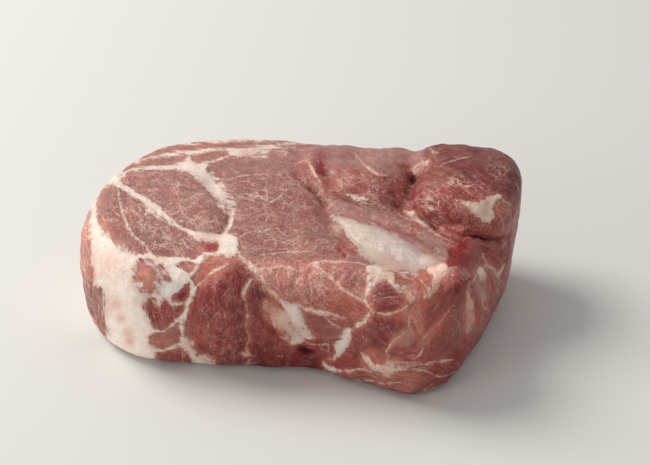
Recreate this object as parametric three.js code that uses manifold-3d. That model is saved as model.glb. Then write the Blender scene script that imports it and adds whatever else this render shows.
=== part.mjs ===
// A raw bone-in pork shoulder roast, lying on its broad base with the cut face up.
// Millimetres, +Z up, +X along the roast, -Y the long front side. The origin is under the middle, on the table.
//
// The meat is one closed form: a slab with rounded corners, the muscles that stand out of it, the hollows
// between them, and the seams where the muscles part. Each of them is a named size below. The form is a
// distance field, and a skin of about one size of facet is drawn over it. The blade bone is a second
// solid, which lies in a pocket that follows it.
import * as THREE from "three";
import { mergeVertices } from "three/addons/utils/BufferGeometryUtils.js";
import Module from "manifold-3d";

// ---- Driving dimensions ----------------------------------------------------------------------------
const FACET = 5.2; // side of a facet on the meat
const BONE_FACET = 3.7; // and on the bone
const POCKET_GAP = 0.35; // between the bone and the meat round it
const ROOM = 14; // left round a form when its skin is drawn

// The whole cut, before its muscles are told apart: the outline of its girth, which lies at beltHeight, and
// how far the wall comes in from there, at the base and at the cut face. One line is [x, y, base, top].
const BODY = {
  top: 76, // height of the cut face
  beltHeight: 42,
  topEdge: 13, // radius of the edge round the cut face
  baseEdge: 9, // and round the base
  girth: [
    [-84, -77, 4, 8], // front left, where the fat cap ends
    [-45, -75, 3, 6],
    [-10, -71, 4, 4],
    [22, -68, 2, 1], // the front side is hollow here, under the rim of the cut face
    [55, -72, 3, 5],
    [87, -76, 5, 8], // front right corner
    [107, -60, 5, 6],
    [117, -30, 5, 8],
    [126, 3, 8, 9],
    [129, 38, 8, 6],
    [119, 68, 6, 8], // back right corner
    [76, 80, 6, 3],
    [40, 76, 8, 3],
    [5, 84, 10, 0],
    [-55, 81, 13, 0],
    [-105, 62, 14, 3], // back left corner
    [-128, 24, 12, 7],
    [-132, -16, 8, 8],
    [-120, -53, 4, 8],
  ],
};

// Muscles that stand out of the body. Each is a rounded block: its middle, its half sizes, how far it is
// turned about Z in degrees, how square it is (2 is an ellipsoid) and how softly it runs into the rest.
const MUSCLES = [
  { name: "rearLobe", at: [27, 48, 61], half: [39, 33, 21], turn: -5, square: 3, soft: 6 },
  { name: "cornerLobe", at: [97, 41, 65], half: [33, 39, 30], turn: -2, square: 3.2, soft: 5 },
];

// Places where the surface swells or sinks: the middle, how far it moves out, and how far it reaches.
const SWELLS = [
  { name: "sunkValley", at: [62, -18, 76], out: -6, reach: [42, 24, 26], turn: -26 },
  { name: "longMuscle", at: [50, 4, 76], out: 4, reach: [44, 8, 20], turn: -26 },
  { name: "lobeBridge", at: [55, 64, 84], out: 7, reach: [17, 13, 14], turn: 0 },
  { name: "underLobe", at: [122, -14, 56], out: -4, reach: [18, 22, 18], turn: 0 },
  { name: "eyeMuscle", at: [-78, 4, 76], out: 2.5, reach: [34, 20, 12], turn: -35 },
  { name: "cornerDip", at: [-56, -60, 76], out: -3, reach: [14, 14, 10], turn: 0 },
  { name: "frontDome", at: [-32, -72, 46], out: 6, reach: [16, 20, 32], turn: 0 },
  { name: "sideHollow", at: [-66, -74, 42], out: -4, reach: [10, 14, 20], turn: 0 },
  { name: "frontHollow", at: [20, -66, 22], out: -7, reach: [16, 20, 18], turn: 0 },
  { name: "rimMuscle", at: [28, -62, 66], out: 3, reach: [36, 14, 12], turn: 0 },
  { name: "roundMuscle", at: [70, -68, 68], out: 3, reach: [12, 12, 10], turn: 0 },
  { name: "frontBlock", at: [84, -70, 34], out: 4, reach: [26, 20, 30], turn: 0 },
];

// Seams and folds: a path over the surface, how deep it is and how wide from its middle to its lip.
const FOLDS = [
  {
    name: "lobeSlit", // under both lobes, and on round the end
    path: [[30, 20, 74], [56, 14, 70], [80, 5, 66], [100, -2, 63], [124, 0, 61], [136, 26, 58]],
    depth: 8,
    width: 7.5,
  },
  { name: "lobeNotch", path: [[61, 14, 68], [61, 27, 77], [60, 42, 87]], depth: 11, width: 7 },
  { name: "rearHollow", path: [[6, 44, 78], [12, 34, 77], [24, 22, 75]], depth: 5, width: 6.5 },
  { name: "longCrease", path: [[-8, 40, 76], [2, 26, 76], [18, 2, 75], [25, -10, 74]], depth: 3.5, width: 6 },
  { name: "eyeSeam", path: [[-60, 18, 78], [-46, 0, 78], [-38, -20, 78], [-38, -38, 77]], depth: 3.5, width: 5.5 },
  { name: "domeSeam", path: [[-48, -76, 14], [-52, -78, 40], [-46, -76, 60], [-32, -70, 76]], depth: 3.5, width: 5 },
  { name: "innerSeam", path: [[-14, -74, 8], [-12, -74, 36], [-14, -74, 60]], depth: 4, width: 5 },
  { name: "rimSeam", path: [[-14, -68, 70], [2, -74, 57], [26, -72, 54], [44, -72, 48]], depth: 5, width: 5.5 },
  { name: "blockSeam", path: [[44, -72, 48], [36, -72, 30], [30, -70, 16]], depth: 4, width: 5 },
  { name: "uprightSeam", path: [[56, -64, 78], [57, -72, 66], [50, -76, 52]], depth: 3, width: 5 },
  { name: "slantSeam", path: [[100, -68, 62], [88, -78, 42], [72, -80, 26]], depth: 3, width: 5.5 },
  { name: "flapSeam", path: [[34, -72, 13], [60, -78, 15], [84, -80, 22], [104, -66, 28]], depth: 3, width: 5 },
];

// The blade bone, as far as the cut shows it: a long low block, a neck, and a knob at the corner.
const BONE = {
  blade: { at: [56, -18, 67], half: [39, 15, 9], turn: -26, square: 2.2 },
  neck: { from: [70, -27, 67], to: [95, -41, 68], radius: 10.5 },
  knob: { at: [101, -47, 69], radius: 11 },
};

// ---- Distance fields: negative inside, in millimetres ------------------------------------------------
const softMin = (a, b, reach) => {
  const h = Math.max(reach - Math.abs(a - b), 0) / reach;
  return Math.min(a, b) - (h * h * reach) / 4;
};

// How far a point is along and across a turned piece, from its middle.
function turnedOffset(x, y, { at, turn }) {
  const angle = THREE.MathUtils.degToRad(turn);
  const [dx, dy] = [x - at[0], y - at[1]];
  return [Math.cos(angle) * dx + Math.sin(angle) * dy, Math.cos(angle) * dy - Math.sin(angle) * dx];
}

// The girth as short straight steps, with the two insets of the wall carried along.
const girthSteps = (() => {
  const outline = new THREE.CatmullRomCurve3(BODY.girth.map(([x, y]) => new THREE.Vector3(x, y, 0)), true);
  const insets = new THREE.CatmullRomCurve3(BODY.girth.map(([, , b, t]) => new THREE.Vector3(b, t, 0)), true);
  const steps = 7 * BODY.girth.length;
  const places = Array.from({ length: steps }, (_, i) => i / steps);
  return places.map((t) => {
    const [p, inset] = [outline.getPoint(t), insets.getPoint(t)];
    return { x: p.x, y: p.y, base: inset.x, top: inset.y };
  });
})();

// How far a point is outside the wall at its own height.
function wallDistance(x, y, z) {
  let best = Infinity;
  let inside = false;
  let inset = 0;
  const below = Math.max((BODY.beltHeight - z) / BODY.beltHeight, 0) ** 2;
  const above = Math.max((z - BODY.beltHeight) / (BODY.top - BODY.beltHeight), 0) ** 2;
  girthSteps.forEach((a, i) => {
    const b = girthSteps[(i + 1) % girthSteps.length];
    const [ex, ey] = [b.x - a.x, b.y - a.y];
    const t = THREE.MathUtils.clamp(((x - a.x) * ex + (y - a.y) * ey) / (ex * ex + ey * ey), 0, 1);
    const away = Math.hypot(x - a.x - t * ex, y - a.y - t * ey);
    if (away < best) {
      best = away;
      inset = below * (a.base + t * (b.base - a.base)) + above * (a.top + t * (b.top - a.top));
    }
    if (a.y > y !== b.y > y && x < a.x + ((y - a.y) / ey) * ex) inside = !inside;
  });
  return (inside ? -best : best) + inset;
}

// The wall and the flat faces meet in a round edge.
function bodyDistance(x, y, z) {
  const upper = z > BODY.top / 2;
  const radius = upper ? BODY.topEdge : BODY.baseEdge;
  const side = wallDistance(x, y, z) + radius;
  const end = (upper ? z - BODY.top : -z) + radius;
  return Math.min(Math.max(side, end), 0) + Math.hypot(Math.max(side, 0), Math.max(end, 0)) - radius;
}

function blockDistance(x, y, z, block) {
  const { at, half, square } = block;
  const offset = [...turnedOffset(x, y, block), z - at[2]];
  const share = offset.map((v, i) => Math.abs(v) / half[i]);
  const near = Math.max(share.reduce((sum, v) => sum + v ** square, 0) ** (1 / square), 0.01);
  const slope = Math.hypot(...share.map((v, i) => (v / near) ** (square - 1) / half[i]));
  return (near - 1) / slope;
}

function swellAt(x, y, z, place) {
  const [u, v] = turnedOffset(x, y, place);
  const [ru, rv, rz] = place.reach;
  return place.out * Math.exp(-((u / ru) ** 2) - (v / rv) ** 2 - ((z - place.at[2]) / rz) ** 2);
}

// Each fold's path is smoothed once, and kept as short straight steps.
const foldSteps = FOLDS.map(({ path, depth, width }) => ({
  depth,
  width,
  points: new THREE.CatmullRomCurve3(path.map((p) => new THREE.Vector3(...p))).getPoints(5 * path.length),
}));

function distanceToPath(x, y, z, points) {
  let best = Infinity;
  for (let i = 1; i < points.length; i++) {
    const [a, b] = [points[i - 1], points[i]];
    const [ex, ey, ez] = [b.x - a.x, b.y - a.y, b.z - a.z];
    const along = ((x - a.x) * ex + (y - a.y) * ey + (z - a.z) * ez) / (ex * ex + ey * ey + ez * ez);
    const t = THREE.MathUtils.clamp(along, 0, 1);
    best = Math.min(best, (x - a.x - t * ex) ** 2 + (y - a.y - t * ey) ** 2 + (z - a.z - t * ez) ** 2);
  }
  return Math.sqrt(best);
}

function foldDepth(x, y, z) {
  let deep = 0;
  for (const { points, depth, width } of foldSteps) {
    const away = distanceToPath(x, y, z, points) / width;
    if (away < 2.5) deep = Math.max(deep, depth * Math.exp(-(away ** 2)));
  }
  return deep;
}

function meatDistance(x, y, z) {
  let d = bodyDistance(x, y, z);
  if (Math.abs(d) > 45) return d; // nothing below changes the sign this far out
  for (const muscle of MUSCLES) d = softMin(d, blockDistance(x, y, z, muscle), muscle.soft);
  for (const place of SWELLS) d -= swellAt(x, y, z, place);
  d += foldDepth(x, y, z);
  return Math.max(d, -z); // the base is flat where it rests
}

function boneDistance(x, y, z) {
  const { blade, neck, knob } = BONE;
  const ends = [neck.from, neck.to].map((p) => new THREE.Vector3(...p));
  let d = blockDistance(x, y, z, blade);
  d = softMin(d, distanceToPath(x, y, z, ends) - neck.radius, 8);
  return softMin(d, Math.hypot(x - knob.at[0], y - knob.at[1], z - knob.at[2]) - knob.radius, 5);
}

// ---- From a field to a closed skin -------------------------------------------------------------------
// One vertex in each cell that the surface passes through, drawn onto the surface, and a quad round each
// grid edge that the surface crosses.
function skinOf(field, low, high, cell) {
  const count = low.map((v, i) => Math.ceil((high[i] - v) / cell) + 1);
  const cornerIndex = (i, j, k) => i + count[0] * (j + count[1] * k);
  const value = new Float64Array(count[0] * count[1] * count[2]);
  for (let k = 0; k < count[2]; k++)
    for (let j = 0; j < count[1]; j++)
      for (let i = 0; i < count[0]; i++)
        value[cornerIndex(i, j, k)] = field(low[0] + i * cell, low[1] + j * cell, low[2] + k * cell);
  settleCorners(value, cornerIndex);

  const positions = [];
  const vertexOf = new Map();
  const corners = [0, 1, 2, 3, 4, 5, 6, 7].map((n) => [n & 1, (n >> 1) & 1, n >> 2]);
  const edges = corners.flatMap((a, m) =>
    corners.slice(m + 1).flatMap((b, n) =>
      Math.abs(a[0] - b[0]) + Math.abs(a[1] - b[1]) + Math.abs(a[2] - b[2]) === 1 ? [[m, m + 1 + n]] : [],
    ),
  );
  for (let k = 0; k + 1 < count[2]; k++)
    for (let j = 0; j + 1 < count[1]; j++)
      for (let i = 0; i + 1 < count[0]; i++) {
        const at = corners.map(([a, b, c]) => value[cornerIndex(i + a, j + b, k + c)]);
        const crossings = edges.filter(([m, n]) => at[m] < 0 !== at[n] < 0);
        if (!crossings.length) continue;
        const middle = [0, 0, 0];
        for (const [m, n] of crossings) {
          const t = at[m] / (at[m] - at[n]);
          for (let axis = 0; axis < 3; axis++)
            middle[axis] += (corners[m][axis] + t * (corners[n][axis] - corners[m][axis])) / crossings.length;
        }
        vertexOf.set(cornerIndex(i, j, k), positions.length / 3);
        positions.push(...onSurface(field, middle.map((v, axis) => low[axis] + cell * (v + [i, j, k][axis])), cell));
      }

  const faces = [];
  const steps = [[1, 0, 0], [0, 1, 0], [0, 0, 1]];
  for (let k = 1; k + 1 < count[2]; k++)
    for (let j = 1; j + 1 < count[1]; j++)
      for (let i = 1; i + 1 < count[0]; i++)
        for (let axis = 0; axis < 3; axis++) {
          const [u, v] = [steps[(axis + 1) % 3], steps[(axis + 2) % 3]];
          const a = value[cornerIndex(i, j, k)] < 0;
          const b = value[cornerIndex(i + steps[axis][0], j + steps[axis][1], k + steps[axis][2])] < 0;
          if (a === b) continue;
          const ring = [[0, 0], [1, 0], [1, 1], [0, 1]].map(([m, n]) =>
            vertexOf.get(cornerIndex(i - m * u[0] - n * v[0], j - m * u[1] - n * v[1], k - m * u[2] - n * v[2])),
          );
          if (b) ring.reverse();
          faces.push(...splitQuad(ring, positions));
        }
  evenOut(positions, faces, field, cell);
  return closedGeometry(positions, faces);
}

// Where a grid square has only its opposite corners inside, the skin would touch itself along a line. The
// corner nearest the surface changes sides, until no square is like that.
function settleCorners(value, cornerIndex) {
  const corner = [cornerIndex(1, 0, 0), cornerIndex(0, 1, 0), cornerIndex(0, 0, 1)];
  let changed = true;
  while (changed) {
    changed = false;
    for (let at = 0; at < value.length - corner[0] - corner[1] - corner[2]; at++)
      for (let axis = 0; axis < 3; axis++) {
        const [u, v] = [corner[(axis + 1) % 3], corner[(axis + 2) % 3]];
        const square = [at, at + u, at + v, at + u + v];
        const [a, b, c, d] = square.map((n) => value[n] < 0);
        if (a !== d || b !== c || a === b) continue;
        const nearest = square.reduce((best, n) => (Math.abs(value[n]) < Math.abs(value[best]) ? n : best));
        value[nearest] = value[nearest] < 0 ? 1e-6 : -1e-6;
        changed = true;
      }
  }
}

// Each vertex goes half way to the middle of its neighbours and back onto the surface, which keeps the
// facets even where a fold is narrow.
function evenOut(positions, faces, field, cell) {
  const neighbours = Array.from({ length: positions.length / 3 }, () => new Set());
  for (let f = 0; f < faces.length; f += 3)
    for (const [m, n] of [[0, 1], [1, 2], [2, 0]]) {
      neighbours[faces[f + m]].add(faces[f + n]);
      neighbours[faces[f + n]].add(faces[f + m]);
    }
  for (let round = 0; round < 3; round++) {
    const before = [...positions];
    neighbours.forEach((around, i) => {
      const middle = [0, 1, 2].map((axis) => {
        const sum = [...around].reduce((total, n) => total + before[3 * n + axis], 0);
        return (before[3 * i + axis] + sum / around.size) / 2;
      });
      onSurface(field, middle, cell / 4).forEach((v, axis) => (positions[3 * i + axis] = v));
    });
  }
}

// A few steps down the field's slope bring a point onto the surface.
function onSurface(field, point, cell) {
  const h = 0.05;
  const start = [...point];
  let [x, y, z] = point;
  for (let step = 0; step < 4; step++) {
    const d = field(x, y, z);
    const slope = [
      (field(x + h, y, z) - field(x - h, y, z)) / (2 * h),
      (field(x, y + h, z) - field(x, y - h, z)) / (2 * h),
      (field(x, y, z + h) - field(x, y, z - h)) / (2 * h),
    ];
    const steep = Math.max(slope[0] ** 2 + slope[1] ** 2 + slope[2] ** 2, 0.05);
    [x, y, z] = [x - (d * slope[0]) / steep, y - (d * slope[1]) / steep, z - (d * slope[2]) / steep];
  }
  const reach = cell * 0.7;
  return [x, y, z].map((v, i) => THREE.MathUtils.clamp(v, start[i] - reach, start[i] + reach));
}

function splitQuad([a, b, c, d], positions) {
  const gap = (m, n) => Math.hypot(...[0, 1, 2].map((i) => positions[3 * m + i] - positions[3 * n + i]));
  return gap(a, c) < gap(b, d) ? [a, b, c, a, c, d] : [a, b, d, b, c, d];
}

function closedGeometry(positions, faces) {
  const geometry = new THREE.BufferGeometry();
  geometry.setAttribute("position", new THREE.Float32BufferAttribute(positions, 3));
  geometry.setIndex(faces);
  return mergeVertices(geometry, 1e-4);
}

// ---- Cutting the bone's pocket -----------------------------------------------------------------------
const wasm = await Module();
wasm.setup();

const solidOf = (geometry) =>
  new wasm.Manifold(
    new wasm.Mesh({
      numProp: 3,
      vertProperties: new Float32Array(geometry.attributes.position.array),
      triVerts: new Uint32Array(geometry.index.array),
    }),
  );

function geometryOf(solid) {
  const mesh = solid.getMesh();
  const geometry = new THREE.BufferGeometry();
  geometry.setAttribute("position", new THREE.Float32BufferAttribute(mesh.vertProperties, 3));
  geometry.setIndex(Array.from(mesh.triVerts));
  return geometry;
}

// ---- The two pieces ----------------------------------------------------------------------------------
function makeMeat() {
  const [xs, ys] = [0, 1].map((axis) => BODY.girth.map((station) => station[axis]));
  const low = [Math.min(...xs) - ROOM, Math.min(...ys) - ROOM, -2.7 * FACET];
  const high = [Math.max(...xs) + ROOM, Math.max(...ys) + ROOM, BODY.top + 2 * ROOM];
  const whole = solidOf(skinOf(meatDistance, low, high, FACET));
  const pocket = solidOf(grown(makeBoneSkin(), POCKET_GAP));
  const cut = whole.subtract(pocket).simplify(POCKET_GAP / 5);
  const largest = cut.decompose().sort((a, b) => b.volume() - a.volume())[0];
  const material = new THREE.MeshStandardMaterial({ color: 0x9c5750, roughness: 0.45, metalness: 0 });
  const meat = new THREE.Mesh(geometryOf(largest), material);
  meat.name = "meat";
  return meat;
}

function makeBoneSkin() {
  const { blade, knob } = BONE;
  const reach = Math.max(...blade.half);
  const low = [blade.at[0] - reach, knob.at[1] - knob.radius, knob.at[2] - knob.radius].map((v) => v - ROOM);
  const high = [knob.at[0] + knob.radius, blade.at[1] + reach, knob.at[2] + knob.radius].map((v) => v + ROOM);
  return skinOf(boneDistance, low, high, BONE_FACET);
}

// The same skin, with each vertex moved out by the gap.
function grown(geometry, gap) {
  const normalled = geometry.clone();
  normalled.computeVertexNormals();
  const { position, normal } = normalled.attributes;
  for (let i = 0; i < position.count; i++)
    position.setXYZ(
      i,
      position.getX(i) + gap * normal.getX(i),
      position.getY(i) + gap * normal.getY(i),
      position.getZ(i) + gap * normal.getZ(i),
    );
  normalled.deleteAttribute("normal");
  return normalled;
}

function makeBone() {
  const material = new THREE.MeshStandardMaterial({ color: 0xd8c4b2, roughness: 0.5, metalness: 0 });
  const bone = new THREE.Mesh(makeBoneSkin(), material);
  bone.name = "blade_bone";
  return bone;
}

const roast = new THREE.Group();
roast.name = "pork_shoulder_roast";
roast.add(makeMeat(), makeBone());
const middle = new THREE.Box3().setFromObject(roast).getCenter(new THREE.Vector3());
roast.position.set(-middle.x, -middle.y, 0);

export default roast;
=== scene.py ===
import math

import bmesh
import bpy
import numpy as np
from mathutils import Matrix, Vector
from mathutils.bvhtree import BVHTree
from mathutils.kdtree import KDTree


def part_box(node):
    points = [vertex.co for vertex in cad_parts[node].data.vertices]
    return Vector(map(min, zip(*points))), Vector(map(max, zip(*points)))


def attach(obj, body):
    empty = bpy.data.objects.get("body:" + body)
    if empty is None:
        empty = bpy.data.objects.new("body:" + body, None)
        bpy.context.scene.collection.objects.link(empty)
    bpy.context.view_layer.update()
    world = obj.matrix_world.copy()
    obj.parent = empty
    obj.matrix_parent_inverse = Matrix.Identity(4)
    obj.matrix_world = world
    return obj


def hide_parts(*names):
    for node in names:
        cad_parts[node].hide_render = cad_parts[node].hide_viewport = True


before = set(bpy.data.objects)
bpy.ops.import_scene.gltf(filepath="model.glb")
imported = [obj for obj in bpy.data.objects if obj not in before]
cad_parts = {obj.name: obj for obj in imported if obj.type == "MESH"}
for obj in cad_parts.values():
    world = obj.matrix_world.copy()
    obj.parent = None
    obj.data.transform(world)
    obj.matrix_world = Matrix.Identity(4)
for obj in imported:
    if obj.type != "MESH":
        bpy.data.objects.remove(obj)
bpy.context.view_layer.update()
mm = 0.001
print("frame loaded")

# The camera stands as it did for the photo, and its pixels place what is drawn on the meat.
photoView = {
    "width": 650,           # pixels
    "height": 465,
    "azimuth": 12,          # degrees to the right of the front
    "elevation": 34,
    "lens": 85,             # mm
    "sensor": 36,
    "distance": 0.98,       # m
    "aim": (0.0111, 0.03315, 0.035),
    "pixelSize": 0.64,      # mm on the cut face
}
# pixels that a metre spans from a metre away
zoom = photoView["lens"] / photoView["sensor"] * photoView["width"]


def viewAxes():
    turn, rise = math.radians(photoView["azimuth"]), math.radians(photoView["elevation"])
    back = Vector((math.sin(turn) * math.cos(rise), -math.cos(turn) * math.cos(rise), math.sin(rise)))
    right = Vector((math.cos(turn), math.sin(turn), 0))
    eye = Vector(photoView["aim"]) + back * photoView["distance"]
    return eye, right, back.cross(right), back


def makeCamera():
    eye, right, up, back = viewAxes()
    data = bpy.data.cameras.new("photoCamera")
    data.lens = photoView["lens"]
    data.sensor_width = photoView["sensor"]
    camera = bpy.data.objects.new("photoCamera", data)
    turned = Matrix((right, up, back)).transposed().to_4x4()
    turned.translation = eye
    camera.matrix_world = turned
    bpy.context.scene.collection.objects.link(camera)
    bpy.context.scene.camera = camera


# places in metres to pixels of the photo
def toPhoto(places):
    eye, right, up, back = (np.array(axis) for axis in viewAxes())
    away = places - eye
    depth = -away @ back
    across = photoView["width"] / 2 + zoom * (away @ right) / depth
    down = photoView["height"] / 2 - zoom * (away @ up) / depth
    return np.column_stack((across, down))


# the camera's place, and the direction from it through a pixel
def rayThrough(spot):
    eye, right, up, back = viewAxes()
    across = (spot[0] - photoView["width"] / 2) / zoom
    down = (spot[1] - photoView["height"] / 2) / zoom
    return eye, (right * across - up * down - back).normalized()


makeCamera()
print("camera set")


# a screen colour of 0 to 255 as the linear colour that a material holds
def linear(colour):
    share = np.array(colour, float) / 255
    return tuple(np.where(share <= 0.04045, share / 12.92, ((share + 0.055) / 1.055) ** 2.4))


# the same for a colour socket, which has an alpha
def opaque(colour):
    return (*linear(colour), 1)


# A node socket that stands in Python expressions. Each expression adds its Math nodes.
class Signal:
    def __init__(self, tree, socket=None):
        self.tree = tree
        self.socket = socket

    # any node: its type, its settings, its output, and the values or links of its sockets
    def node(self, kind, settings=None, output=0, inputs=None):
        made = self.tree.nodes.new(kind)
        for name, value in (settings or {}).items():
            setattr(made, name, value)
        for name, value in (inputs or {}).items():
            socket = made.inputs[name]
            if isinstance(value, Signal):
                self.tree.links.new(value.socket, socket)
            else:
                socket.default_value = value
        return Signal(self.tree, made.outputs[output])

    def maths(self, operation, first, second=0.0):
        return self.node("ShaderNodeMath", {"operation": operation}, 0, {0: first, 1: second})

    def __add__(self, other):
        return self.maths("ADD", self, other)

    def __radd__(self, other):
        return self.maths("ADD", other, self)

    def __sub__(self, other):
        return self.maths("SUBTRACT", self, other)

    def __rsub__(self, other):
        return self.maths("SUBTRACT", other, self)

    def __mul__(self, other):
        return self.maths("MULTIPLY", self, other)

    def __rmul__(self, other):
        return self.maths("MULTIPLY", other, self)

    def __truediv__(self, other):
        return self.maths("DIVIDE", self, other)

    def __rtruediv__(self, other):
        return self.maths("DIVIDE", other, self)

    def __abs__(self):
        return self.maths("ABSOLUTE", self)

    def most(self, other):
        return self.maths("MAXIMUM", self, other)

    def least(self, other):
        return self.maths("MINIMUM", self, other)

    # 0 at low, 1 at high, smooth between
    def rise(self, low, high):
        return self.node("ShaderNodeMapRange", {"interpolation_type": "SMOOTHSTEP"}, 0,
                         {"Value": self, "From Min": low, "From Max": high})

    # this colour, with other laid over it by share
    def under(self, other, share):
        return self.node("ShaderNodeMix", {"data_type": "RGBA"}, 2, {0: share, 6: self, 7: other})

    def times(self, factor):
        return self.node("ShaderNodeVectorMath", {"operation": "SCALE"}, 0, {0: self, "Scale": factor})

    def tinted(self, factors):
        return self.node("ShaderNodeVectorMath", {"operation": "MULTIPLY"}, 0, {0: self, 1: factors})

    def plus(self, other):
        return self.node("ShaderNodeVectorMath", {"operation": "ADD"}, 0, {0: self, 1: other})

    def parts(self):
        return [self.node("ShaderNodeSeparateXYZ", None, axis, {0: self}) for axis in "XYZ"]

    def stored(self, name, output="Fac"):
        return self.node("ShaderNodeAttribute", {"attribute_name": name}, output)

    # noise with lumps of a size in mm, about 0.5 on average
    def noise(self, place, size, detail=2.0, output="Fac"):
        return self.node("ShaderNodeTexNoise", None, output,
                         {"Vector": place, "Scale": 1 / (size * mm), "Detail": detail, "Roughness": 0.6})

    # mm from the nearest wall between cells of a size in mm
    def cellWalls(self, place, size):
        walls = self.node("ShaderNodeTexVoronoi", {"feature": "DISTANCE_TO_EDGE"}, "Distance",
                          {"Vector": place, "Scale": 1 / (size * mm)})
        return walls * size


def newMaterial(name):
    material = bpy.data.materials.new(name)
    material.use_nodes = True
    material.node_tree.nodes.clear()
    return material, Signal(material.node_tree)


def endMaterial(start, shader):
    out = start.tree.nodes.new("ShaderNodeOutputMaterial")
    start.tree.links.new(shader.socket, out.inputs["Surface"])


# The outlines and paths below are pixels of the photo, with widths in pixels and depths in mm.
# fatZone is the fat cap of the left end with the rim behind; the lean shows through it as islands.
fatZone = [(40, 120), (200, 120), (296, 125), (297, 146), (290, 146), (275, 149), (269, 152), (267, 156),
           (258, 157), (248, 156.5), (240, 157.5), (226, 158.5), (211, 163), (208, 167), (209, 172),
           (217, 178), (225, 186), (231, 196), (237, 203), (234, 214), (234, 222), (229, 233),
           (237, 237), (239, 251), (231, 257), (215, 256), (205, 260), (198, 268), (193, 276),
           (193, 283), (197, 288), (196, 294), (191, 303), (188, 312), (185, 322), (184, 333),
           (190, 343), (196, 352), (206, 356), (214, 360), (216, 366), (216, 380), (40, 400)]
leanIslands = {
    "rimStrip": [(133, 159), (143, 152), (160, 148), (183, 144), (240, 142), (290, 140.5), (275, 144.5),
                 (245, 147.5), (205, 149), (180, 150.5), (160, 154), (140, 159.5)],
    "rimMuscleLeft": [(112, 172), (125, 164), (141, 160.5), (170, 156.5), (186, 155), (184, 160),
                      (172, 164), (150, 165.5), (137, 167), (122, 173)],
    "rimMuscleRight": [(192, 156), (207, 151.5), (224, 151.5), (228, 154), (216, 159.5), (200, 162.5),
                       (194, 161.5)],
    "eyeMuscle": [(121, 180), (130, 172.5), (150, 170), (180, 171), (194, 178), (206, 189), (217, 200),
                  (224, 211), (223, 223), (218, 232), (208, 232), (197, 231), (183, 227), (174, 219),
                  (163, 209), (151, 200), (137, 192), (126, 186)],
    "crescentLean": [(225, 204), (229, 210), (228, 219), (222, 230), (219, 232), (225, 217)],
    "middleMuscle": [(119, 188), (133, 197), (143, 202), (152, 210), (158, 217), (168, 222), (177, 229),
                     (189, 235), (200, 243), (204, 250), (196, 258), (178, 257), (165, 256), (154, 254),
                     (145, 245), (133, 232), (126, 219), (121, 200)],
    "leftMuscle": [(100, 192), (108, 185.5), (114, 185), (118, 190), (121, 203), (124, 216), (129, 229),
                   (138, 240), (149, 251), (141, 254), (128, 250), (120, 247), (112, 238), (105, 234),
                   (99, 221), (97, 207)],
    "leftOuter": [(79, 204), (85, 193), (89, 197), (90, 214), (89, 236), (91, 258), (93, 284), (84, 282),
                  (78, 262), (74, 236), (75, 216)],
    "leftStreak": [(81, 280), (90, 286), (101, 287), (105, 298), (105, 312), (107, 335), (100, 333),
                   (92, 318), (85, 303)],
    "smallSliver": [(150, 264), (162, 270), (170, 279), (168, 282), (158, 272)],
    "smallMuscle": [(177, 266), (184, 262), (196, 264), (197, 269), (190, 273), (181, 268)],
    "pinkPatch": [(133, 268), (139, 261), (147, 259), (155, 264), (160, 273), (160, 285), (154, 293),
                  (145, 292), (137, 287), (133, 278)],
    "orangePatch": [(200, 264), (204, 260), (213, 266), (216, 270), (203, 277), (198, 269)],
    "underKnobStrip": [(203, 258), (212, 255), (224, 258), (229, 262), (214, 263)],
    "darkSmallMuscle": [(172, 296), (183, 288), (188, 283), (190, 286), (187, 299), (177, 302)],
    "lowerLeftMuscle": [(144, 305), (154, 297), (158, 308), (163, 299), (174, 305), (185, 303),
                        (182, 313), (172, 325), (157, 330), (149, 318)],
    "lowestLeftMuscle": [(152, 334), (166, 331), (178, 322), (181, 338), (178, 344), (172, 347),
                         (158, 349), (150, 342)],
    "cornerMuscle": [(157, 352), (172, 350), (181, 347), (185, 356), (182, 368), (160, 368)],
    "bloodGap": [(200, 240), (207, 243), (217, 243.5), (218, 249), (212, 252), (203, 252), (198, 247)],
    "cornerSlip": [(185, 352), (190, 357), (195, 368), (184, 368)],
}
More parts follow.
